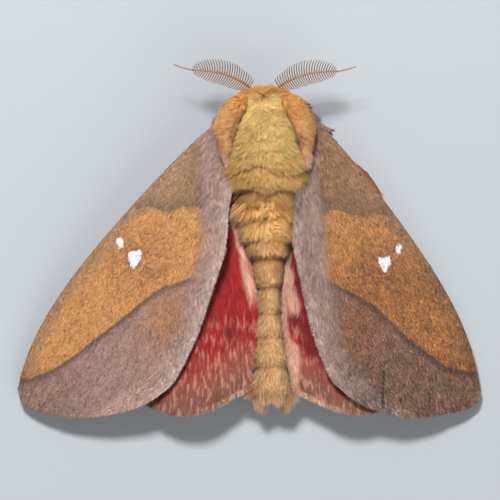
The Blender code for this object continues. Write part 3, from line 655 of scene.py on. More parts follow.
def tree_of(grid):
    """A closed form through rings, to find its nearest faces."""
    points, quads, triangles = closed_tube(grid)
    faces = [tuple(map(int, face)) for face in list(quads) + list(triangles)]
    return BVHTree.FromPolygons([Vector(p) for p in points], faces)


def outside(roots, trees, *nodes):
    """Keeps the roots that other nodes' forms don't cover, found by the side of the nearest face."""
    keep = np.ones(len(roots["root"]), bool)
    for node in nodes:
        for i in np.flatnonzero(keep):
            p = Vector(roots["root"][i])
            found, normal, _, _ = trees[node].find_nearest(p)
            if (p - found).dot(normal) < 0:
                keep[i] = False
    return chosen(roots, keep)


# Nodes of the finishes


def linear(tint):
    """A colour that nodes use, from its usual 0 to 255 numbers."""
    shares = [c / 255 for c in tint]
    return (*(s / 12.92 if s <= 0.04 else ((s + 0.055) / 1.055) ** 2.4 for s in shares), 1.0)


class Nodes:
    """Short calls that add nodes to a tree. An input is a value or another node's socket."""

    def __init__(self, tree):
        self.tree = tree

    def feed(self, socket, value):
        if isinstance(value, bpy.types.NodeSocket):
            self.tree.links.new(value, socket)
        elif value is not None:
            socket.default_value = value

    def add(self, kind, settings=(), **inputs):
        """Adds a node and gives its outputs. In an input's name _ stands for a space."""
        made = self.tree.nodes.new(kind)
        for label, value in dict(settings).items():
            setattr(made, label, value)
        for label, value in inputs.items():
            self.feed(made.inputs[label.replace("_", " ")], value)
        return made.outputs

    def work(self, operation, a, b, c=None):
        """A sum of two or three values."""
        made = self.tree.nodes.new("ShaderNodeMath")
        made.operation = operation
        for socket, value in zip(made.inputs, (a, b, c)):
            self.feed(socket, value)
        return made.outputs[0]

    def times(self, a, b):
        return self.work("MULTIPLY", a, b)

    def less(self, a, b):
        return self.work("SUBTRACT", a, b)

    def mix(self, share, a, b, blend="MIX"):
        """Colour a turned into b by share. A colour is a socket, a name in TINTS or 0 to 255 numbers."""
        made = self.tree.nodes.new("ShaderNodeMix")
        made.data_type = "RGBA"
        made.blend_type = blend
        self.feed(made.inputs[0], share)
        for socket, colour in ((made.inputs[6], a), (made.inputs[7], b)):
            colour = TINTS[colour] if isinstance(colour, str) else colour
            self.feed(socket, linear(colour) if isinstance(colour, tuple) else colour)
        return made.outputs[2]

    def multiply(self, colour, by):
        return self.mix(1.0, colour, by, "MULTIPLY")

    def over(self, colour, tint, share, most):
        """The colour with a layer of tint over it, where share is 1 as thick as most."""
        return self.mix(self.times(share, most), colour, tint)

    def step(self, value, start, end):
        """0 before start, 1 after end and smooth between."""
        smoothly = {"interpolation_type": "SMOOTHSTEP"}
        return self.add("ShaderNodeMapRange", smoothly, Value=value, From_Min=start, From_Max=end)[0]

    def noise(self, place, scale, detail=3.0):
        return self.add("ShaderNodeTexNoise", Vector=place, Scale=scale, Detail=detail)[0]

    def attribute(self, name):
        return self.add("ShaderNodeAttribute", {"attribute_name": name})["Vector"]

    def split(self, vector):
        return self.add("ShaderNodeSeparateXYZ", Vector=vector)

    def grey(self, light):
        return self.add("ShaderNodeCombineColor", Red=light, Green=light, Blue=light)[0]

    def group(self, name, **inputs):
        return self.add("ShaderNodeGroup", {"node_tree": bpy.data.node_groups[name]}, **inputs)


def new_group(name, inputs, outputs):
    """A group's nodes, with what it is given and what it gives. Both name each socket's kind."""
    tree = bpy.data.node_groups.new(name, "ShaderNodeTree")
    for way, sockets in (("INPUT", inputs), ("OUTPUT", outputs)):
        for label, kind in sockets.items():
            tree.interface.new_socket(label, in_out=way, socket_type=f"NodeSocket{kind}")
    given, gives = tree.nodes.new("NodeGroupInput"), tree.nodes.new("NodeGroupOutput")
    return Nodes(tree), given.outputs, gives.inputs


def hair_shade_group():
    """Paints shade on a coat towards its roots, and varies it hair by hair and clump by clump."""
    n, given, gives = new_group(
        "Hair shade", {"Color": "Color", "Hair": "Vector", "Root shade": "Float", "Spread": "Float"},
        {"Color": "Color"},
    )
    share, own, clump = n.split(given["Hair"])
    root = n.times(given["Root shade"], n.less(1.0, share))
    warm = n.mix(root, given["Color"], n.multiply(given["Color"], "fur root"))
    spread = n.times(given["Spread"], n.less(n.work("ADD", own, clump), 1.0))
    n.feed(gives["Color"], n.multiply(warm, n.grey(n.work("ADD", 1.0, spread))))


def soft_edge_group():
    """A mask that rises past an edge, which wanders by a noise."""
    n, given, gives = new_group(
        "Soft edge",
        {"Distance": "Float", "Place": "Vector", "Wander": "Float", "Start": "Float", "End": "Float",
         "Scale": "Float"},
        {"Mask": "Float"},
    )
    shift = n.less(n.noise(given["Place"], given["Scale"], 4.0), 0.5)
    moved = n.work("MULTIPLY_ADD", shift, given["Wander"], given["Distance"])
    n.feed(gives["Mask"], n.step(moved, given["Start"], given["End"]))


def scale_grain_group():
    """Grain of small scales: a value about 1 for the colour, a height, and a mask of sparse dark dots."""
    n, given, gives = new_group(
        "Scale grain", {"Place": "Vector", "Strength": "Float", "Dots": "Float"},
        {"Light": "Float", "Height": "Float", "Dots": "Float"},
    )
    fine, broad = n.noise(given["Place"], 6.5), n.noise(given["Place"], 0.9, 4.0)
    both = n.work("ADD", n.times(fine, 1.5), n.times(broad, 0.5))
    n.feed(gives["Light"], n.work("MULTIPLY_ADD", n.less(both, 1.0), given["Strength"], 1.0))
    n.feed(gives["Height"], fine)
    dots = 0.0
    for size, reach, depth in ((1.15, 0.2, 1.0), (2.3, 0.26, 0.7)):
        flat = {"voronoi_dimensions": "2D"}
        cells = n.add("ShaderNodeTexVoronoi", flat, Vector=given["Place"], Scale=size)
        own = n.split(cells["Color"])[0]
        rare = n.step(own, n.less(1.0, given["Dots"]), n.less(1.08, given["Dots"]))
        small = n.times(n.step(cells["Distance"], reach, 0.06), depth)
        dots = n.work("MAXIMUM", dots, n.times(rare, small))
    n.feed(gives["Dots"], dots)


def new_material(name, roughness, **fixed):
    """A material and its shader's inputs. In the name of a fixed one _ stands for a space."""
    made = bpy.data.materials.new(name)
    made.use_nodes = True
    shader = made.node_tree.nodes["Principled BSDF"].inputs
    for label, value in {"Roughness": roughness, **fixed}.items():
        shader[label.replace("_", " ")].default_value = value
    return made, shader


class Finish(Nodes):
    """The nodes of a material. A coat's place is its roots' place in mm, and a bare form's is its own."""

    def __init__(self, name, roughness, coat=True, **fixed):
        self.made, self.shader = new_material(name, roughness, **fixed)
        super().__init__(self.made.node_tree)
        self.place = self.attribute("place") if coat else self.add("ShaderNodeTexCoord")["Object"]

    def edge(self, distance, start, end, wander=0.5, scale=1.3):
        """A mask that rises from start to end of a distance, with an edge that wanders."""
        return self.group(
            "Soft edge", Distance=distance, Place=self.place, Start=start, End=end, Wander=wander,
            Scale=scale,
        )["Mask"]

    def end(self, colour, height, strength, depth):
        """Joins the colour and a relief, whose depth is in mm, to the shader."""
        normal = self.add("ShaderNodeBump", Height=height, Strength=strength, Distance=depth * MM)[0]
        self.feed(self.shader["Base Color"], colour)
        self.feed(self.shader["Normal"], normal)
        return self.made

    def hairs(self, colour, root_shade, spread):
        return self.group(
            "Hair shade", Color=colour, Hair=self.attribute("hair"), Root_shade=root_shade, Spread=spread
        )["Color"]


# Finishes


def fur_finish(name, root_shade, spread, bands):
    """Fur whose colour changes along the body. bands are pairs of y and colour, tail to head."""
    n = Finish(name, 0.75, Sheen_Weight=0.1, Sheen_Roughness=0.4)
    y = n.split(n.place)[1]
    colour = bands[0][1]
    for (start, _), (end, tint) in zip(bands, bands[1:]):
        colour = n.mix(n.step(y, start, end), colour, tint)
    patchy = n.step(n.noise(n.place, 0.8), 0.4, 0.7)
    colour = n.over(colour, n.multiply(colour, "fur patch"), patchy, 0.4)
    for share, tint in zip(n.split(n.attribute("zone")), ("lavender fur", "orange fur", "dark fur")):
        colour = n.mix(share, colour, tint)
    return n.end(n.hairs(colour, root_shade, spread), n.noise(n.place, 9.0, 2.0), 0.3, 0.05)


def forewing_finish():
    """Base, middle and outer parts between two lines, a hairy grey band, white spots, and painted shade."""
    n = Finish("forewing_scales", 0.75, Sheen_Weight=0.06, Sheen_Roughness=0.5)
    first, second, band = n.split(n.attribute("lines"))
    spot, costa, slit = n.split(n.attribute("spots"))
    rim, painted_shade, vein = n.split(n.attribute("rims"))
    patch, shade, under = n.split(n.attribute("tones"))
    grain = n.group("Scale grain", Place=n.place, Strength=1.3, Dots=0.26)
    light = n.grey(grain["Light"])
    speckle = n.step(n.noise(n.place, 3.2), 0.36, 0.62)

    base = n.mix(n.edge(costa, 0.3, 3.4, 1.5, 0.5), "base front", "base")
    base = n.over(base, "first line", n.edge(first, -2.2, -0.1), 0.55)
    middle = n.mix(n.times(shade, speckle), "middle", "middle shade")
    middle = n.mix(n.edge(costa, 2.2, 0.1, 1.2, 0.6), middle, "middle front")
    outer = n.mix(patch, "outer", "outer patch")
    outer = n.over(outer, "outer speckle", speckle, 0.16)
    outer = n.over(outer, "vein", n.step(vein, 0.2, 0.03), 0.3)
    outer = n.over(outer, "second line", n.edge(second, 1.0, 0.05), 0.9)
    colour = n.mix(n.edge(first, -0.2, 0.12, 0.35), base, middle)
    colour = n.mix(n.edge(second, -0.12, 0.16, 0.3), colour, outer)

    banded = n.edge(band, -0.9, 0.8, 0.9, 1.0)
    colour = n.mix(banded, colour, n.mix(n.edge(rim, 1.3, 0.1), "grey band", "grey rim"))
    colour = n.over(colour, "dot", grain["Dots"], 0.75)
    # Painted shade in the slit
    colour = n.over(colour, "slit", n.step(slit, 0.2, 0.09), 0.9)
    ring = n.times(n.step(spot, 0.22, 0.02), n.less(1.0, n.step(spot, 0.05, -0.05)))
    colour = n.over(colour, "spot ring", ring, 0.45)
    # Painted shade: a tint and the grain darken the colour where the shade field says
    dim = n.multiply(colour, n.mix(banded, "painted_shade", "grey painted shade"))
    colour = n.mix(painted_shade, colour, n.multiply(n.multiply(dim, light), light))
    colour = n.mix(n.edge(spot, 0.05, -0.06, 0.12, 5.0), colour, "white spot")
    colour = n.multiply(colour, light)

    below = n.mix(n.edge(band, -6.0, 0.0, 2.0, 0.4), "under front", "under rear")
    below = n.mix(n.edge(second, -0.3, 0.4), below, "under outer")
    shaded = n.hairs(n.mix(under, colour, below), 0.25, 0.46)
    return n.end(shaded, grain["Height"], 0.2, 0.04)


def hindwing_finish():
    """Crimson that turns rose and brown towards the margin, with pale hair beside the abdomen."""
    n = Finish("hindwing_scales", 0.8, Sheen_Weight=0.03, Sheen_Roughness=0.5, Specular_IOR_Level=0.3)
    outer, cream, spot = n.split(n.attribute("lines"))
    lobe, pale, under = n.split(n.attribute("tones"))
    grain = n.group("Scale grain", Place=n.place, Strength=0.9, Dots=0.02)
    lengthwise = n.add("ShaderNodeMapping", Vector=n.place, Scale=(2.4, 0.7, 1.0), Rotation=(0, 0, 0.12))
    streak = n.noise(lengthwise[0], 1.1, 4.0)

    red = n.mix(n.step(streak, 0.35, 0.68), "deep crimson", "crimson")
    colour = n.mix(n.edge(outer, 7.0, 2.6, 4.0, 0.5), red, "rose")
    colour = n.mix(n.edge(outer, 4.0, 0.8, 1.6, 0.7), colour, "brown margin")
    wisps = n.times(n.edge(outer, 10.0, 7.0, 2.0, 0.6), n.step(streak, 0.48, 0.64))
    colour = n.over(colour, "wisp", wisps, 0.48)
    colour = n.over(colour, "pale strip", pale, 0.85)
    streaky = n.times(n.edge(cream, 1.5, 0.3, 1.0, 0.9), n.step(streak, 0.2, 0.5))
    colour = n.over(colour, "cream streak", streaky, 0.95)
    # Dark crimson spots, and the band beside the forewing: its deeper red and painted shadow
    colour = n.over(colour, "dark crimson", n.edge(spot, 0.5, -0.5, 0.6, 1.2), 0.9)
    colour = n.mix(lobe, colour, "front lobe")
    colour = n.mix(n.edge(outer, 0.5, 0.05, 0.25, 2.0), colour, "pale rim")
    colour = n.over(colour, "crimson dot", grain["Dots"], 0.3)
    colour = n.multiply(colour, n.grey(grain["Light"]))

    below = n.mix(n.edge(outer, 12.0, 5.0, 3.0, 0.4), "under rose", "under cream")
    shaded = n.hairs(n.mix(under, colour, below), 0.3, 0.34)
    return n.end(shaded, grain["Height"], 0.3, 0.05)


def horny_finish(name, tint, scale, roughness):
    """A smooth finish with a fine mottling, for feelers and claws."""
    n = Finish(name, roughness, coat=False)
    mottle = n.noise(n.place, scale / MM)
    return n.end(n.mix(n.step(mottle, 0.35, 0.7), tint, f"dark {tint}"), mottle, 0.3, 0.02)


def eye_finish():
    """A dark compound eye of small lenses."""
    n = Finish("eye_lenses", 0.35, coat=False, Coat_Weight=0.1, Specular_IOR_Level=0.3)
    to_lens = n.add("ShaderNodeTexVoronoi", Vector=n.place, Scale=LENSES_PER_MM / MM)["Distance"]
    return n.end(n.mix(n.step(to_lens, 0.1, 0.6), "lens", "lens edge"), n.less(1.0, to_lens), 0.6, 0.02)


# Wings


def patch(outline, along, across):
    """Points of the sheet that the front edge, outer margin and inner margin span."""
    front, outer, inner = (np.array(edge, float) for edge in outline)
    root, rear, tip, tornus = front[0], inner[0], front[-1], inner[-1]
    a, c = along[..., None], across[..., None]
    edges = curve(front, along) * (1 - c) + curve(inner, along) * c
    base = (root + (rear - root) * c) * (1 - a)
    return edges + base + curve(outer, across) * a - base - (tip + (tornus - tip) * c) * a


def forewing_plan(side, along, across):
    """Plan places of the forewing sheet: x out from the midline, and y."""
    q = patch(FOREWING_OUTLINE, along, across)
    fuller = np.interp(q[..., 1], *np.array(OUTER_FULLER[side]).T) * along**4
    out = q[..., 0] * (FOREWING_STRETCH[side] - TORNUS_SHORTER[side] * q[..., 1]) + fuller
    root, spread = FOREWING_ROOT[side], FOREWING_SPREAD[side]
    x = root[0] + out * math.sin(spread) - q[..., 1] * math.cos(spread)
    return x, root[1] - out * math.cos(spread) - q[..., 1] * math.sin(spread)


def hindwing_plan(side, along, across):
    """Plan places of the hindwing sheet: x out from the midline, and y."""
    q = patch(HINDWING_OUTLINE, along, across)
    return q[..., 0], q[..., 1] * (1 + HINDWING_LONGER[side] * smooth(-10.0, -30.0, q[..., 1]))


def wing_height(wing, side, x, y):
    """Height of a wing's middle: a bowed roof, and under it the hindwing, which dips beside the abdomen."""
    out = x - ROOF_RIDGE_X
    roof = ROOF_RIDGE_Z - ROOF_SLOPE[side] * out - ROOF_BOW[side] * out * np.abs(out) + ROOF_FALL_BACK * y
    if wing == "forewing":
        return roof
    dip = smooth(DIP_OUT_X, DIP_IN_X, x) * smooth(DIP_START_Y, DIP_FULL_Y, y)
    return roof - HINDWING_BELOW - HINDWING_DIP * dip


def vein_relief(veins, along, across):
    """Height of the veins, which turn finer and lower towards the margin."""
    relief = np.zeros(along.shape)
    for place, start in veins:
        width = 0.011 + 0.006 * (1 - along)
        there = smooth(start - 0.03, start + 0.03, along) if start else 1.0
        vein = VEIN_HEIGHT * (1 - 0.5 * along) * np.exp(-(((across - place) / width) ** 2))
        relief = relief + vein * there
    return relief


WINGS = {"forewing": (forewing_plan, FOREWING_VEINS), "hindwing": (hindwing_plan, HINDWING_VEINS)}


def wing_points(wing, side, along, across, face):
    """Points of one face of a wing's sheet: face is 1 for the upper and -1 for the under side."""
    plan, veins = WINGS[wing]
    x, y = plan(side, along, across)
    rim = np.minimum(np.minimum(smooth(0, 0.03, across), smooth(1, 0.97, across)), smooth(1, 0.985, along))
    half = (SHEET_HALF - SHEET_TAPER * along) * (RIM_SHARE + (1 - RIM_SHARE) * rim)
    wave = SHEET_WAVE * np.sin(across * 31 + along * 5) * smooth(0.3, 1.0, along)
    veined = vein_relief(veins, along, across) * (0.6 + 0.4 * face)
    z = wing_height(wing, side, x, y) + face * half + veined + wave
    if wing == "forewing" and side == "right":
        flat = np.stack([x, y], axis=-1).reshape(-1, 2)
        for line, deep, wide in ((SLIT, 0.3, 0.11), (CREASE, 0.12, 0.3)):
            z = z - deep * np.exp(-((line_distance(flat, line) / wide) ** 2)).reshape(x.shape)
    return np.stack([x * SIDES[side], y, z], axis=-1)


def wing_line(wing, side, along, across):
    """A line on a wing, in mm out from the midline and along the body, at shares along and across it."""
    return np.stack(WINGS[wing][0](side, *np.broadcast_arrays(along, across)), axis=-1)


def into_band(side, out, y):
    """How far in from the grey band's outer edge a place is."""
    band = np.array(GREY_BAND[side])[::-1]
    return np.interp(y, band[:, 0], band[:, 1]) - out


def forewing_fields(side, points, face):
    """What the forewing's finish reads: distances in mm from lines, spots and edges, and painted shade."""
    place = points[:, :2]
    outward = place * (SIDES[side], 1)
    out, y = outward.T
    steps = np.linspace(0, 1, 60)
    costa, rim = (line_distance(outward, wing_line("forewing", side, steps, share)) for share in (0.0, 1.0))
    vein = np.min([
        line_distance(outward, wing_line("forewing", side, np.linspace(max(start, 0.6), 1, 30), share))
        for share, start in FOREWING_VEINS
    ], axis=0)
    spot = np.minimum(*(out_of_shape(place, shape) for shape in WHITE_SPOTS[side]))
    to_patch = (place - OCHRE_PATCH[side]) @ np.array(PATCH_TURN) / PATCH_RADII
    middle = np.mean(WHITE_SPOTS[side][0], axis=0) + np.array((-0.6 * SIDES[side], -0.6))
    shade = 0.85 * near(np.linalg.norm(place - middle, axis=1), 3.4)
    mark = near(np.linalg.norm(place - RED_MARKS[side], axis=1), 0.35)
    if side == "right":
        slit = line_distance(place, SLIT)
        # Painted shade: the right forewing is darker all over, more outwards and most beside the body's fur
        painted_shade = 0.42 + 0.4 * smooth(-13.0, -18.5, y) * smooth(6.0, 9.0, out)
        painted_shade = painted_shade + 0.24 * smooth(-24.0, -28.5, y) * smooth(8.0, 11.0, out)
        painted_shade = np.minimum(painted_shade + 0.9 * near(line_distance(place, SHADE_BESIDE_BODY), 0.4), 1.0)
    else:
        slit = np.full(len(place), FAR)
        # Painted shade on the left forewing only near its outer end
        painted_shade = 0.4 * smooth(18.0, 25.0, out) * smooth(-24.0, -28.0, y)
    first, second = past_line(place, FIRST_LINE[side]), past_line(place, SECOND_LINE[side])
    under = np.full(len(place), float(face < 0))
    return {
        "lines": np.stack([first, second, into_band(side, out, y)], -1),
        "spots": np.stack([spot, costa, slit], -1),
        "tones": np.stack([np.exp(-np.sum(to_patch**2, axis=1)), np.maximum(shade, mark), under], -1),
        "rims": np.stack([rim, painted_shade, vein], -1),
    }


def hindwing_fields(side, points, face):
    """What the hindwing's finish reads: distances from margin, streak, spots, painted shadow; pale places."""
    place = points[:, :2] * (SIDES[side], 1)
    x, y = place.T
    steps = np.linspace(0, 1, 60)
    outer = line_distance(place, wing_line("hindwing", side, 1.0, steps))
    costa = line_distance(place, wing_line("hindwing", side, steps, 0.0))
    above = line_distance(place, wing_line("forewing", side, steps, 1.0))
    spots = [np.hypot(x - spot_x, y - spot_y) - r for spot_x, spot_y, r in HINDWING_SPOTS[side]]
    # The band beside the forewing's margin is the hindwing's deeper red there and painted shadow
    spot = np.min([*spots, above - SHADE_BESIDE_FOREWING], axis=0)
    streak = line_distance(place, CREAM_STREAK[side]) / (0.35 + 0.35 * smooth(-12.0, -19.0, y))
    lobe = smooth(1.6, 0.2, costa) * smooth(-19.0, -15.0, y)
    if side == "left":
        streak = streak + 1.2 * smooth(-17.0, -21.0, y)
        pale = np.zeros(len(place))
    else:
        pale = smooth(0.35, -0.35, x - np.interp(y, *np.array(PALE_STRIP).T))
    under = np.full(len(place), float(face < 0))
    return {"lines": np.stack([outer, streak, spot], -1), "tones": np.stack([lobe, pale, under], -1)}


FIELDS = {"forewing": forewing_fields, "hindwing": hindwing_fields}


def wing_sheet(wing, side, material):
    """The membrane: two faces with veins, closed round the rim."""
    rows, columns = SHEET_ROWS[wing]
    along, across = np.meshgrid(
        np.linspace(0, SHEET_EDGE, rows), np.linspace(0.003, SHEET_EDGE, columns), indexing="ij"
    )
    faces = [wing_points(wing, side, along, across, face).reshape(-1, 3) for face in (1, -1)]
    index = np.arange(rows * columns).reshape(rows, columns)
    top = np.stack([index[:-1, :-1], index[1:, :-1], index[1:, 1:], index[:-1, 1:]], -1).reshape(-1, 4)
    rim = np.concatenate([index[0], index[1:, -1], index[-1, -2::-1], index[-2:0:-1, 0]])
    ahead = np.roll(rim, -1)
    strip = np.stack([rim, ahead, ahead + rows * columns, rim + rows * columns], -1)
    if side == "right":
        top = top[:, ::-1]
    else:
        strip = strip[:, ::-1]
    quads = np.concatenate([top, top[:, ::-1] + rows * columns, strip])
    fields = [FIELDS[wing](side, points, face) for points, face in zip(faces, (1, -1))]
    points = np.vstack(faces)
    values = {label: np.vstack([one[label] for one in fields]) for label in fields[0]}
    values["place"] = points
    values["hair"] = np.broadcast_to(SHEET_SHADE, points.shape)
    u, v = across.ravel() * MAP_HALF, along.ravel()
    spots = np.vstack([np.stack([u + start, v], -1) for start in MAP_STARTS])
    bake = spots[quads]
    bake[-len(strip):] = spots[rim][:, None]
    new_mesh(
        f"{wing}_sheet_{side}", points, quads, (), material, wing, (f"{wing}_{side}",), values, bake
    )


def wing_roots(wing, side, face, count, draw, weight=None, span=WHOLE_SPAN):
    """Random roots on one face of a wing, between shares along and across it. Row is the share along."""
    along, across = np.meshgrid(
        np.linspace(span[0], span[1], 120), np.linspace(max(span[2], 0.004), span[3], 60), indexing="ij"
    )
    grid = wing_points(wing, side, along, across, face)
    roots = scatter(grid, count, draw, weight(along, across) if weight else None, wrap=False)
    facing = np.sign(roots["normal"][:, 2:]) * face
    roots["normal"] = roots["normal"] * np.where(facing == 0, 1, facing)
    roots["row"] = span[0] + roots["row"] * (span[1] - span[0])
    roots["column"] = span[2] + roots["column"] * (span[3] - span[2])
    return roots


def margin_roots(wing, side, margin, count, draw):
    """Roots of a fringe, along the outer or inner margin, between the sheet's two faces."""
    share = (np.arange(count) + draw.random(count)) / count * SHEET_EDGE
    depth = SHEET_EDGE - 0.012 * draw.random(count)
    along, across = (depth, share) if margin == "outer" else (share, depth)
    height = (draw.uniform(-0.6, 1.0, count)[:, None] + 1) / 2
    top, low = (wing_points(wing, side, along, across, face) for face in (1, -1))
    normal = np.broadcast_to(UP, top.shape).copy()
    return {"root": low + (top - low) * height, "normal": normal, "row": along, "column": across}


def wing_lie(wing, side, roots, turn):
    """Way along the wing towards its outer margin, turned towards the inner margin by turn."""
    along, across = roots["row"], roots["column"]
    here = wing_points(wing, side, along, across, 1)
    outward = unit(wing_points(wing, side, along + 0.01, across, 1) - here)
    inward = unit(wing_points(wing, side, along, across + 0.01, 1) - here)
    turn = np.broadcast_to(turn, (len(here),))[:, None]
    return unit(outward * np.cos(turn) + inward * np.sin(turn))


def dress(wing, side, piece, tufts, material, flat, face=1):
    """Grows tufts on a wing, with what its finish reads at their roots."""
    fields = FIELDS[wing](side, tufts["root"], face)
    grow(f"{wing}_{piece}_{side}", {**tufts, **fields}, material, wing, flat=flat)


def under_scales(wing, side, turn, length, material, draw):
    """Broad scales on a wing's under side."""
    roots = wing_roots(wing, side, -1, 7000, draw, span=UNDER_SPAN)
    lie = wing_lie(wing, side, roots, turn)
    tufts = comb(roots, lie, length, 0.14, draw, width=0.2, clump=4, pull=0.1, curl=0.2)
    dress(wing, side, "under", tufts, material, SCALE_FLAT, -1)


def forewing_coat(side, material, draw):
    """Scales on both faces, long hair over the grey band, and a fringe."""
    roots = wing_roots("forewing", side, 1, 30000, draw)
    if side == "right":
        roots = chosen(roots, line_distance(roots["root"][:, :2], SLIT) > SLIT_HALF_WIDTH)
    lie = wing_lie("forewing", side, roots, 0.1)
    length = 0.42 - 0.1 * roots["row"]
    scales = comb(roots, lie, length, 0.1, draw, width=0.11, clump=4, pull=0.08, curl=0.2)
    scales["clump"] = draw.random(len(lie))
    dress("forewing", side, "scales", scales, material, SCALE_FLAT)
    under_scales("forewing", side, 0.1, 0.55, material, draw)

    def banded(along, across):
        x, y = forewing_plan(side, along, across)
        return smooth(-0.9, 0.5, into_band(side, x, y)) * (1 - 0.75 * smooth(0.6, 1.0, along)) + 0.0001

    roots = wing_roots("forewing", side, 1, 17000, draw, banded)
    lie, length = wing_lie("forewing", side, roots, 0.16), 1.15 - 0.7 * roots["row"]
    hair = comb(roots, lie, length, 0.2, draw, 0.055, 8, pull=0.4, curl=0.14, end_rise=0.1, sway=0.3)
    dress("forewing", side, "hair", hair, material, WING_HAIR_FLAT)

    rim = margin_roots("forewing", side, "outer", 1700, draw)
    lie = wing_lie("forewing", side, rim, 0.05)
    outer = comb(rim, lie, 0.42, 0.05, draw, width=0.1, clump=5, pull=0.25, curl=0.12)
    rim = margin_roots("forewing", side, "inner", 2600, draw)
    lie = wing_lie("forewing", side, rim, 1.15 - 0.35 * rim["row"])
    length = 0.7 - 0.3 * rim["row"] - 0.3 * smooth(0.9, 1.0, rim["row"])
    inner = comb(rim, lie, length, 0.05, draw, width=0.07, clump=7, pull=0.35, curl=0.14)
    dress("forewing", side, "fringe", gathered(outer, inner), material, WING_HAIR_FLAT)


def hindwing_coat(side, material, draw):
    """Hair above, scales below, and a fringe with a notch on the left."""
    roots = wing_roots("hindwing", side, 1, 20000, draw)
    lie, length = wing_lie("hindwing", side, roots, 0.05), 1.1 - 0.65 * smooth(0.5, 0.95, roots["row"])
    hair = comb(roots, lie, length, 0.2, draw, 0.06, 8, pull=0.3, curl=0.12, end_rise=0.15, sway=0.2)
    dress("hindwing", side, "hair", hair, material, WING_HAIR_FLAT)
    under_scales("hindwing", side, 0.05, 0.6, material, draw)
    rim = margin_roots("hindwing", side, "outer", 3200, draw)
    if side == "left":
        notch = np.abs(np.abs(rim["root"][:, 0]) - FRINGE_NOTCH)
        rim = chosen(rim, notch > 0.2 * draw.random(len(notch)) + 0.1)
    lie = wing_lie("hindwing", side, rim, 0.0)
    outer = comb(rim, lie, 0.72, 0.05, draw, width=0.09, clump=9, pull=0.5, curl=0.12)
    rim = margin_roots("hindwing", side, "inner", 2200, draw)
    lie = wing_lie("hindwing", side, rim, 0.5)
    inner = comb(rim, lie, 0.9, 0.12, draw, width=0.08, clump=8, pull=0.4, curl=0.15)
    dress("hindwing", side, "fringe", gathered(outer, inner), material, WING_HAIR_FLAT)


# Body


def palp_grid(side):
    path = np.array(PALP_PATH) * (SIDES[side], 1, 1)
    return tube_grid(path, np.array(PALP_RADII) - COAT_DEPTH["palp"], 16, 16)


def leg_grid(leg, side, rows):
    radii = np.array(LEG_RADII) - COAT_DEPTH["leg"]
    return tube_grid(leg_path(leg, side), radii, rows, 20, floor=0.0)


def eye_grid(side):
    return ball_grid(np.array(EYE_CENTRE) * (SIDES[side], 1, 1), (EYE_RADIUS,) * 3)


def body_forms():
    """The bare forms under the fur, by node: rings of points, and the kind of fur on them."""
    forms = {
        "thorax": (body_grid(thorax_stations(), COAT_DEPTH["thorax"]), "thorax"),
        "abdomen": (body_grid(abdomen_stations(), COAT_DEPTH["abdomen"]), "abdomen"),
        "collar": (ball_grid(COLLAR[0], np.array(COLLAR[1]) - COAT_DEPTH["collar"]), "shoulder"),
        "head": (ball_grid(HEAD[0], np.array(HEAD[1]) - COAT_DEPTH["head"]), "shoulder"),
    }
    for side in SIDES:
        forms[f"tegula_{side}"] = (tegula_grid(side, COAT_DEPTH["tegula"]), "shoulder")
        forms[f"palp_{side}"] = (palp_grid(side), "shoulder")
        for leg in LEGS:
            forms[f"{leg}_{side}"] = (leg_grid(leg, side, 40), "leg")
    return forms


def body_skin(forms, trees, furs):
    """One skin under the fur of the body, head, shoulder flaps, palps and legs."""
    shape = merged([closed_tube(grid) for grid, _ in forms.values()])
    skin = new_mesh("skin", *shape, None, "body_fur", tuple(forms))
    remesh = skin.modifiers.new("one_skin", "REMESH")
    remesh.mode = "VOXEL"
    remesh.voxel_size = SKIN_VOXEL * MM
    soften = skin.modifiers.new("soften", "SMOOTH")
    soften.iterations = SKIN_SOFTENINGS
    graph = bpy.context.evaluated_depsgraph_get()
    mesh = bpy.data.meshes.new_from_object(skin.evaluated_get(graph))
    skin.modifiers.clear()
    skin.data = mesh
    mesh.shade_smooth()
    kinds = list(furs)
    for finish in furs.values():
        mesh.materials.append(finish)
    for face in mesh.polygons:
        at = Vector(np.array(face.center) / MM + ORIGIN)
        found = [
            (trees[node].find_nearest(at, SKIN_SEARCH)[3], kinds.index(kind))
            for node, (_, kind) in forms.items()
        ]
        face.material_index = min(pair for pair in found if pair[0] is not None)[1]
    place = np.zeros(len(mesh.vertices) * 3)
    mesh.vertices.foreach_get("co", place)
    place = place.reshape(-1, 3) / MM + ORIGIN
    hair = np.broadcast_to(SKIN_SHADE, place.shape)
    for label, values in (("place", place), ("hair", hair), ("zone", np.zeros(place.shape))):
        layer = mesh.attributes.new(label, "FLOAT_VECTOR", "POINT")
        layer.data.foreach_set("vector", values.astype(np.float32).ravel())


def zones(count, lavender=0.0, orange=0.0, dark=0.0):
    """How far the fur turns lavender, orange and dark."""
    parts = [np.broadcast_to(value, (count,)) for value in (lavender, orange, dark)]
    return np.clip(np.stack(parts, axis=-1), 0, 1)


def into_folds(roots):
    """Sinks the roots where the fur is folded, and gives how deep they sink."""
    at = roots["root"]
    depth = np.zeros(len(at))
    for line, deep, wide in FOLDS:
        depth = np.maximum(depth, deep * near(line_distance(at[:, :2], line), wide))
    depth = depth * (at[:, 2] > FOLDS_ABOVE)
    roots["root"] = at - roots["normal"] * depth[:, None]
    return depth


def sideways(roots, share):
    """A way out from the midline, in proportion to how far out the root is."""
    return roots["root"] * (share, 0, 0)


def grow_halves(node, tufts, behind, finish, slot):
    """Grows a coat in two pieces, front and rear."""
    for half, part in (("front", ~behind), ("rear", behind)):
        grow(f"{node}_fur_{half}", chosen(tufts, part), finish, slot, (node,))


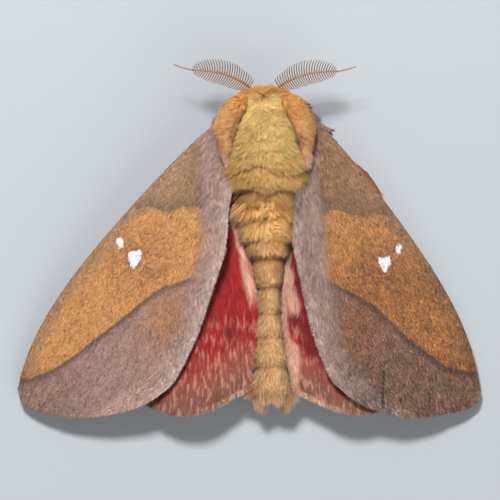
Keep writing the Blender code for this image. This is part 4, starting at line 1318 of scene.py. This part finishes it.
def thorax_coat(grid, finish, trees, draw):
    """Long fur, with a ruff on each side and an upright hem over the abdomen."""
    weight = 0.45 + 0.55 * smooth(3.5, 6.0, grid[..., 2])
    roots = scatter(grid, 72000, draw, weight)
    roots = outside(roots, trees, "abdomen", "collar", "head", "tegula_left", "tegula_right")
    depth = into_folds(roots)
    x, y, z = roots["root"].T
    ahead, rump = smooth(-3.0, 3.2, y), smooth(-6.9, -7.4, y)
    ruff = smooth(1.6, 3.0, np.abs(x)) * smooth(-0.5, -3.5, y) * smooth(6.0, 7.5, z)
    lie = TAILWARD + sideways(roots, 0.16) + sideways(roots, 0.2) * ruff[:, None]
    length = 1.35 - 0.1 * ahead + np.where(x > 0, 0.55, 0.25) * ruff - 0.4 * near(y + 6.5, 0.5) + 0.5 * rump
    tufts = comb(
        roots, lie, length * (1 - 0.45 * depth), 1.35 - 0.6 * ahead + 1.6 * rump, draw, FUR_WIDTH,
        pull=0.55 - 0.25 * ahead[:, None], curl=0.2, end_rise=0.5, sway=0.5,
    )
    low = smooth(7.2, 4.8, z)
    # Painted shade: the fur in the folds turns dark
    tufts["zone"] = zones(len(x), 0.7 * low, 0.35 * low, 0.9 * depth)
    grow_halves("thorax", tufts, y < -2.4, finish, "thorax_fur")


def abdomen_coat(grid, finish, trees, draw):
    """Short fur that laps over each segment's end, fluffier and in whorls at the base."""
    weight = 0.5 + 0.5 * smooth(2.5, 4.5, grid[..., 2])
    roots = outside(scatter(grid, 56000, draw, weight), trees, "thorax")
    at = roots["root"]
    x, y, z = at.T
    depth = into_folds(roots)
    fluffy, base = smooth(-13.8, -10.9, y), smooth(-10.2, -8.4, y)
    waist, tail = smooth(-18.0, -15.0, y), smooth(-25.0, -28.5, y)
    flank = smooth(0.9, 2.2, np.abs(x)) * smooth(3.5, 5.0, z)
    left = smooth(-0.8, -1.8, x) * smooth(3.0, 4.5, z)
    low_waist = smooth(-20.5, -22.5, y) * left

    to_end = at[:, 1:2] - (np.array(SEGMENT_ENDS[1:]) + HEM_REACH)
    ahead = np.where(to_end > 0, to_end, FAR).min(1)
    behind = np.where(to_end <= 0, -to_end, FAR).min(1)
    deep = GAP_DEPTH[np.abs(to_end).argmin(1)]
    gap = smooth(HEM_REACH + 0.5, HEM_REACH + 0.1, behind) * (behind < 5.0) * smooth(4.0, 5.0, z)
    gap = gap * deep * (1 - base)

    spread = 0.5 * fluffy * (1 - base) + 0.6 * tail
    lie = TAILWARD + sideways(roots, 0.1) + sideways(roots, 0.2) * spread[:, None]
    lie[:, 0] -= 0.8 * smooth(-1.5, -2.4, x) * smooth(-9.6, -8.2, y)
    for centre, reach, turn in WHORLS:
        arm = at[:, :2] - centre
        here = turn * near(np.linalg.norm(arm, axis=1), reach)
        lie[:, :2] += here[:, None] * unit(np.stack([-arm[:, 1], arm[:, 0]], -1))
    calm = np.clip(np.linalg.norm(lie[:, :2], axis=1), 0, 1)

    length = 0.85 + 0.35 * fluffy + 0.55 * base + 0.1 * deep * near(ahead, 0.5)
    length = length + flank * (0.45 * fluffy + 0.3 * waist + 0.4 * tail)
    length = length + 0.3 * left * base + 0.3 * low_waist
    length = length * (1 - 0.6 * gap) * (1 - 0.4 * depth) * (0.45 + 0.55 * calm)
    rise = 0.65 + 0.35 * fluffy + 0.45 * base + 0.6 * low_waist
    edge = smooth(1.4, 2.4, np.abs(x))
    tufts = comb(
        roots, lie, length, rise, draw, FUR_WIDTH, pull=0.55, curl=0.2,
        end_rise=0.3 + 0.12 * base[:, None], sway=0.5 + 0.6 * base * (1 - edge) - 0.2 * edge,
    )
    pinkish = 0.5 * smooth(-1.7, -2.5, x) * smooth(-13.0, -11.0, y)
    # Painted shade: the fur in the gaps behind segment ends and in the folds turns dark
    tufts["zone"] = zones(len(x), pinkish, 0.0, 0.85 * gap + 0.6 * depth)
    grow_halves("abdomen", tufts, y < -15.5, finish, "body_fur")


def tail_coat(finish, draw):
    """Tufts round the end of the abdomen, over its claspers, and beside its left base."""
    made = []
    for base, tip, count in TAIL_TUFTS:
        run = np.array(tip) - base
        reach = np.linalg.norm(run)
        root = base + draw.normal(0, 1, (count, 3)) * TAIL_TUFT_SPREAD
        length = reach * draw.uniform(0.55, 1.0, count)
        out = unit(root - (0, base[1] + 1.0, TAIL_HEIGHT))
        roots = {
            "root": root, "normal": unit(out + UP * 0.4), "row": np.clip((root[:, 1] + 32) / 27, 0, 1),
            "column": np.clip((root[:, 0] + 4) / 8 * 0.9, 0, 1),
        }
        lie = np.broadcast_to(run, root.shape)
        tufts = comb(roots, lie, length, 0.14, draw, 0.075, 12, pull=0.4, curl=0.1)
        aim = base + run * (length / reach)[:, None]
        tufts["tip"] = tufts["tip"] + (aim - tufts["tip"]) * TAIL_TUFT_GATHER
        tufts["zone"] = zones(count, 0.15)
        made.append(tufts)
    grow("tail_tufts", gathered(*made), finish, "body_fur", ("abdomen",))


def tegula_coat(side, grid, finish, trees, draw):
    """Long fur on a shoulder flap, which runs out over the wing's root and back to a point."""
    roots = outside(scatter(grid, 12500, draw), trees, "thorax", "collar", "head")
    row, out = roots["row"], np.abs(roots["root"][:, 0])
    rear = smooth(0.4, 0.95, row)
    down = np.full(len(row), -0.2)
    lie = np.stack([SIDES[side] * (0.85 - 0.45 * rear), -0.45 - 0.4 * rear, down], axis=-1)
    length = 0.8 + TEGULA_POINT[side] * smooth(0.72, 1.0, row)
    tufts = comb(
        roots, lie, length, 0.75, draw, 0.055, 14, pull=0.5, curl=0.18, end_rise=0.3, sway=0.5
    )
    inner = smooth(0.7, 1.3, curve(TEGULA_PATH, row)[:, 0] - out) + smooth(0.8, 1.0, row)
    tufts["zone"] = zones(len(row), 0.75 * inner, 0.45 * smooth(0.5, 0.1, row))
    grow(f"tegula_fur_{side}", tufts, finish, "shoulder_fur", (f"tegula_{side}",))


def short_fur(roots, lie, length, rise, draw):
    return comb(roots, lie, length, rise, draw, 0.055, pull=0.3, curl=0.16, end_rise=0.3, sway=0.25)


def collar_coat(grid, trees, draw):
    """Fur that parts over the collar: golden towards the back and orange over the brow."""
    roots = outside(scatter(grid, 18000, draw), trees, "thorax", "tegula_left", "tegula_right")
    x, y, z = roots["root"].T
    brow = (smooth(2.7, 3.1, y) * smooth(8.0, 7.2, z))[:, None]
    forward = np.array((0.0, 1.0, -0.35)) + sideways(roots, 0.3)
    lie = (TAILWARD * 0.9 + sideways(roots, 0.25)) * (1 - brow) + forward * brow
    length = 1.25 - 0.6 * smooth(2.0, 2.5, y) + 0.5 * smooth(2.6, 3.1, y)
    parting = near(z - 7.8, 0.6) * smooth(2.5, 3.0, y)
    tufts = short_fur(roots, lie, length, 0.7 + 2.6 * parting + 0.7 * smooth(2.5, 2.0, y), draw)
    front = smooth(3.05, 3.35, y + 0.14 * x**2)
    tufts["zone"] = zones(len(x), 0.0, 0.7 * front)
    golden = front + draw.uniform(-0.3, 0.3, len(front)) < 0.5
    return chosen(tufts, golden), chosen(tufts, ~golden)


def head_coat(grid, trees, draw):
    """Orange fur down over the face."""
    roots = outside(scatter(grid, 14000, draw), trees, "thorax", "collar", "eye_left", "eye_right")
    z = roots["root"][:, 2]
    lie = np.array((0.0, 0.8, -1.0)) + sideways(roots, 0.25)
    length = 0.65 + 0.35 * smooth(5.6, 7.0, z) + 0.5 * smooth(5.0, 4.2, z)
    tufts = short_fur(roots, lie, length, 0.7 + 2.0 * smooth(6.3, 7.1, z), draw)
    tufts["zone"] = zones(len(z), 0.0, 0.8, 0.12)
    return tufts


def palp_coat(grid, draw):
    """Shaggy fur on a palp."""
    roots = scatter(grid, 900, draw)
    lie = np.array((0.0, 0.8, -0.5)) + sideways(roots, 0.3)
    tufts = comb(roots, lie, 0.7, 1.1, draw, 0.06, 6, pull=0.25, curl=0.5, end_rise=0.7)
    tufts["zone"] = zones(len(lie), 0.35, 0.4, 0.3)
    return tufts


def shoulder_coats(grids, furs, trees, draw):
    """Fur on the shoulder flaps, collar, head and palps."""
    for side in SIDES:
        tegula_coat(side, grids[f"tegula_{side}"], furs["shoulder"], trees, draw)
    golden, brow = collar_coat(grids["collar"], trees, draw)
    grow("collar_fur", golden, furs["thorax"], "thorax_fur", ("collar",))
    made = [brow, head_coat(grids["head"], trees, draw)]
    made += [palp_coat(grids[f"palp_{side}"], draw) for side in SIDES]
    nodes = ("collar", "head", "palp_left", "palp_right")
    grow("head_fur", gathered(*made), furs["shoulder"], "shoulder_fur", nodes)


def leg_coats(finish, trees, draw):
    """Fur on the legs, long on their upper halves."""
    for side in SIDES:
        made = []
        for k, leg in enumerate(LEGS):
            roots = outside(scatter(leg_grid(leg, side, 50), 3800, draw), trees, "thorax")
            roots = chosen(roots, roots["root"][:, 2] > LEG_FUR_ABOVE)
            path, row = leg_path(leg, side), roots["row"]
            ahead = curve(path, np.minimum(row + 0.02, 1)) - curve(path, row - 0.02)
            length = 1.15 - 0.8 * smooth(0.42, 0.66, row)
            tufts = comb(roots, ahead, length, 0.9, draw, 0.07, 7, 0.4, 0.35, end_rise=0.5, sway=0.4)
            tufts["zone"] = zones(len(row), 0.3, 0.0, 0.1)
            tufts["column"] = (k + tufts["column"]) / 3.05
            made.append(tufts)
        nodes = tuple(f"{leg}_{side}" for leg in LEGS)
        grow(f"leg_fur_{side}", gathered(*made), finish, "leg_fur", nodes)


def claws(finish):
    """Two curved claws at the end of each foot."""
    shapes = []
    for side in SIDES:
        for leg in LEGS:
            path = leg_path(leg, side)
            ahead = unit(path[-1] - path[-2])
            across = np.cross(ahead, UP)
            for hand in (-1, 1):
                start = path[-1] + across * hand * 0.1 - ahead * 0.1
                bend = start + ahead * 0.35 + across * hand * 0.16 + UP * 0.04
                tip = start + ahead * 0.52 + across * hand * 0.2 - UP * 0.17
                grid = tube_grid((start, bend, tip), (0.075, 0.055, 0.014), 10, 8, floor=0.01)
                shapes.append(closed_tube(grid))
    new_mesh("claws", *merged(shapes), finish, "leg_fur")


def eyes(finish):
    for side in SIDES:
        new_mesh(f"eye_lens_{side}", *closed_tube(eye_grid(side)), finish, "eye", (f"eye_{side}",))


# Feelers


def feeler_curve(side, t):
    """Points of a feeler's shaft, turned about its root as on that side."""
    root = np.array(FEELER_PATH[0])
    p = curve(FEELER_PATH, t) - root
    c, s = math.cos(FEELER_TURN[side]), math.sin(FEELER_TURN[side])
    turned = np.stack([p[..., 0] * c - p[..., 1] * s, p[..., 0] * s + p[..., 1] * c, p[..., 2]], axis=-1)
    return (root + turned) * (SIDES[side], 1, 1)


def feelers(shaft_finish, branch_finish):
    """A ringed shaft with two rows of fine side branches and a bare tip."""
    draw = np.random.default_rng(SEED + 5)
    t = np.linspace(0, 1, 200)
    radii = (0.15 - 0.085 * t + 0.07 * near(t, 0.03)) * (1 + 0.07 * np.cos(t * math.tau * SHAFT_RINGS))
    for side in SIDES:
        path = feeler_curve(side, t)
        run = np.concatenate([[0.0], np.cumsum(np.linalg.norm(np.diff(path, axis=0), axis=1))])
        shaft = closed_tube(tube_grid(path[::8], radii, 200, 12))
        new_mesh(f"feeler_shaft_{side}", *shaft, shaft_finish, "feeler", (f"antenna_{side}",))
        shapes = []
        for k in range(RAMI):
            share = k / (RAMI - 1)
            here = np.interp(run[-1] * (COMB_START + (COMB_END - COMB_START) * share), run, t)
            root = feeler_curve(side, here)
            ahead = unit(feeler_curve(side, here + 0.01) - root)
            across = unit(np.cross(UP, ahead)) * SIDES[side]
            taper = 0.14 + 0.86 * math.sin(math.pi * min(share * 0.87 + 0.13, 1.0)) ** 0.6
            for row, longest in RAMUS_LENGTH.items():
                reach = longest * taper * draw.uniform(0.96, 1.03)
                way = unit(across * row + ahead * (0.12 + 0.5 * share**3))
                middle = root + way * reach * 0.5 - UP * 0.06
                bend = root + way * reach * 0.85 + ahead * reach * 0.08 - UP * 0.02
                tip = root + way * reach + ahead * reach * 0.18 + UP * 0.05
                grid = tube_grid((root, middle, bend, tip), RAMUS_RADII, 9, 6)
                shapes.append(closed_tube(grid))
        new_mesh(f"feeler_comb_{side}", *merged(shapes), branch_finish, "feeler", (f"antenna_{side}",))


# Stage and light


def stage_and_light():
    """A pale floor, two soft lamps in a dim room, and the photo's view from above."""
    scene = bpy.context.scene
    scene.view_settings.view_transform = "Standard"
    floor_mesh = bpy.data.meshes.new("floor")
    half = FLOOR_HALF
    corners = [(-half, -half, 0), (half, -half, 0), (half, half, 0), (-half, half, 0)]
    floor_mesh.from_pydata(corners, [], [(0, 1, 2, 3)])
    floor = bpy.data.objects.new("floor", floor_mesh)
    paper, _ = new_material("pale_paper", 0.9, Base_Color=linear(PAPER))
    floor_mesh.materials.append(paper)
    scene.collection.objects.link(floor)
    world = bpy.data.worlds.new("studio")
    world.use_nodes = True
    sky = world.node_tree.nodes["Background"].inputs
    sky["Color"].default_value = (1.0, 0.98, 0.95, 1.0)
    sky["Strength"].default_value = 0.3
    scene.world = world
    for name, (place, size, power) in LAMPS.items():
        lamp = bpy.data.lights.new(name, "AREA")
        lamp.size = size
        lamp.energy = power
        made = bpy.data.objects.new(name, lamp)
        made.location = place
        made.rotation_euler = (-Vector(place)).to_track_quat("-Z", "Y").to_euler()
        scene.collection.objects.link(made)
    camera = bpy.data.cameras.new("camera")
    camera.sensor_width = SENSOR
    camera.lens = SENSOR * (CAMERA_HEIGHT - VIEW_PLANE) / VIEW_WIDTH
    camera.clip_start, camera.clip_end = 0.05, 10.0
    eye = bpy.data.objects.new("camera", camera)
    eye.location = (np.array((*VIEW_CENTRE, CAMERA_HEIGHT)) - ORIGIN) * MM
    eye.rotation_euler = (0, 0, VIEW_ROLL)
    scene.collection.objects.link(eye)
    scene.camera = eye


def main():
    """Builds every piece. One generator serves all coats, so their order matters."""
    hair_shade_group()
    soft_edge_group()
    scale_grain_group()
    stage_and_light()
    furs = {kind: fur_finish(f"{kind}_fur", *look) for kind, look in FURS.items()}
    wing_finishes = {"forewing": forewing_finish(), "hindwing": hindwing_finish()}
    forms = body_forms()
    grids = {node: grid for node, (grid, _) in forms.items()}
    trees = {node: tree_of(grid) for node, grid in grids.items()}
    for side in SIDES:
        trees[f"eye_{side}"] = tree_of(eye_grid(side))
    body_skin(forms, trees, furs)

    draw = np.random.default_rng(SEED)
    thorax_coat(grids["thorax"], furs["thorax"], trees, draw)
    abdomen_coat(grids["abdomen"], furs["abdomen"], trees, draw)
    tail_coat(furs["abdomen"], draw)
    shoulder_coats(grids, furs, trees, draw)
    leg_coats(furs["leg"], trees, draw)
    claws(horny_finish("claw_horn", "horn", 6.0, 0.35))
    eyes(eye_finish())
    feelers(horny_finish("feeler_amber", "amber", 5.0, 0.45), horny_finish("comb_umber", "umber", 5.0, 0.5))
    for side in SIDES:
        for wing, finish in wing_finishes.items():
            wing_sheet(wing, side, finish)
        forewing_coat(side, wing_finishes["forewing"], draw)
        hindwing_coat(side, wing_finishes["hindwing"], draw)


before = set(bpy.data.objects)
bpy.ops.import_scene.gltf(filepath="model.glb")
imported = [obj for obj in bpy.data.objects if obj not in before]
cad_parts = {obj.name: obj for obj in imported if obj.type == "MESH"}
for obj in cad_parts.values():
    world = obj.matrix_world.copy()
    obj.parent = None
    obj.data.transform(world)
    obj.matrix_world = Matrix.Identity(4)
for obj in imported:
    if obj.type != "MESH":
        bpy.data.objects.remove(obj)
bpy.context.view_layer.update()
main()
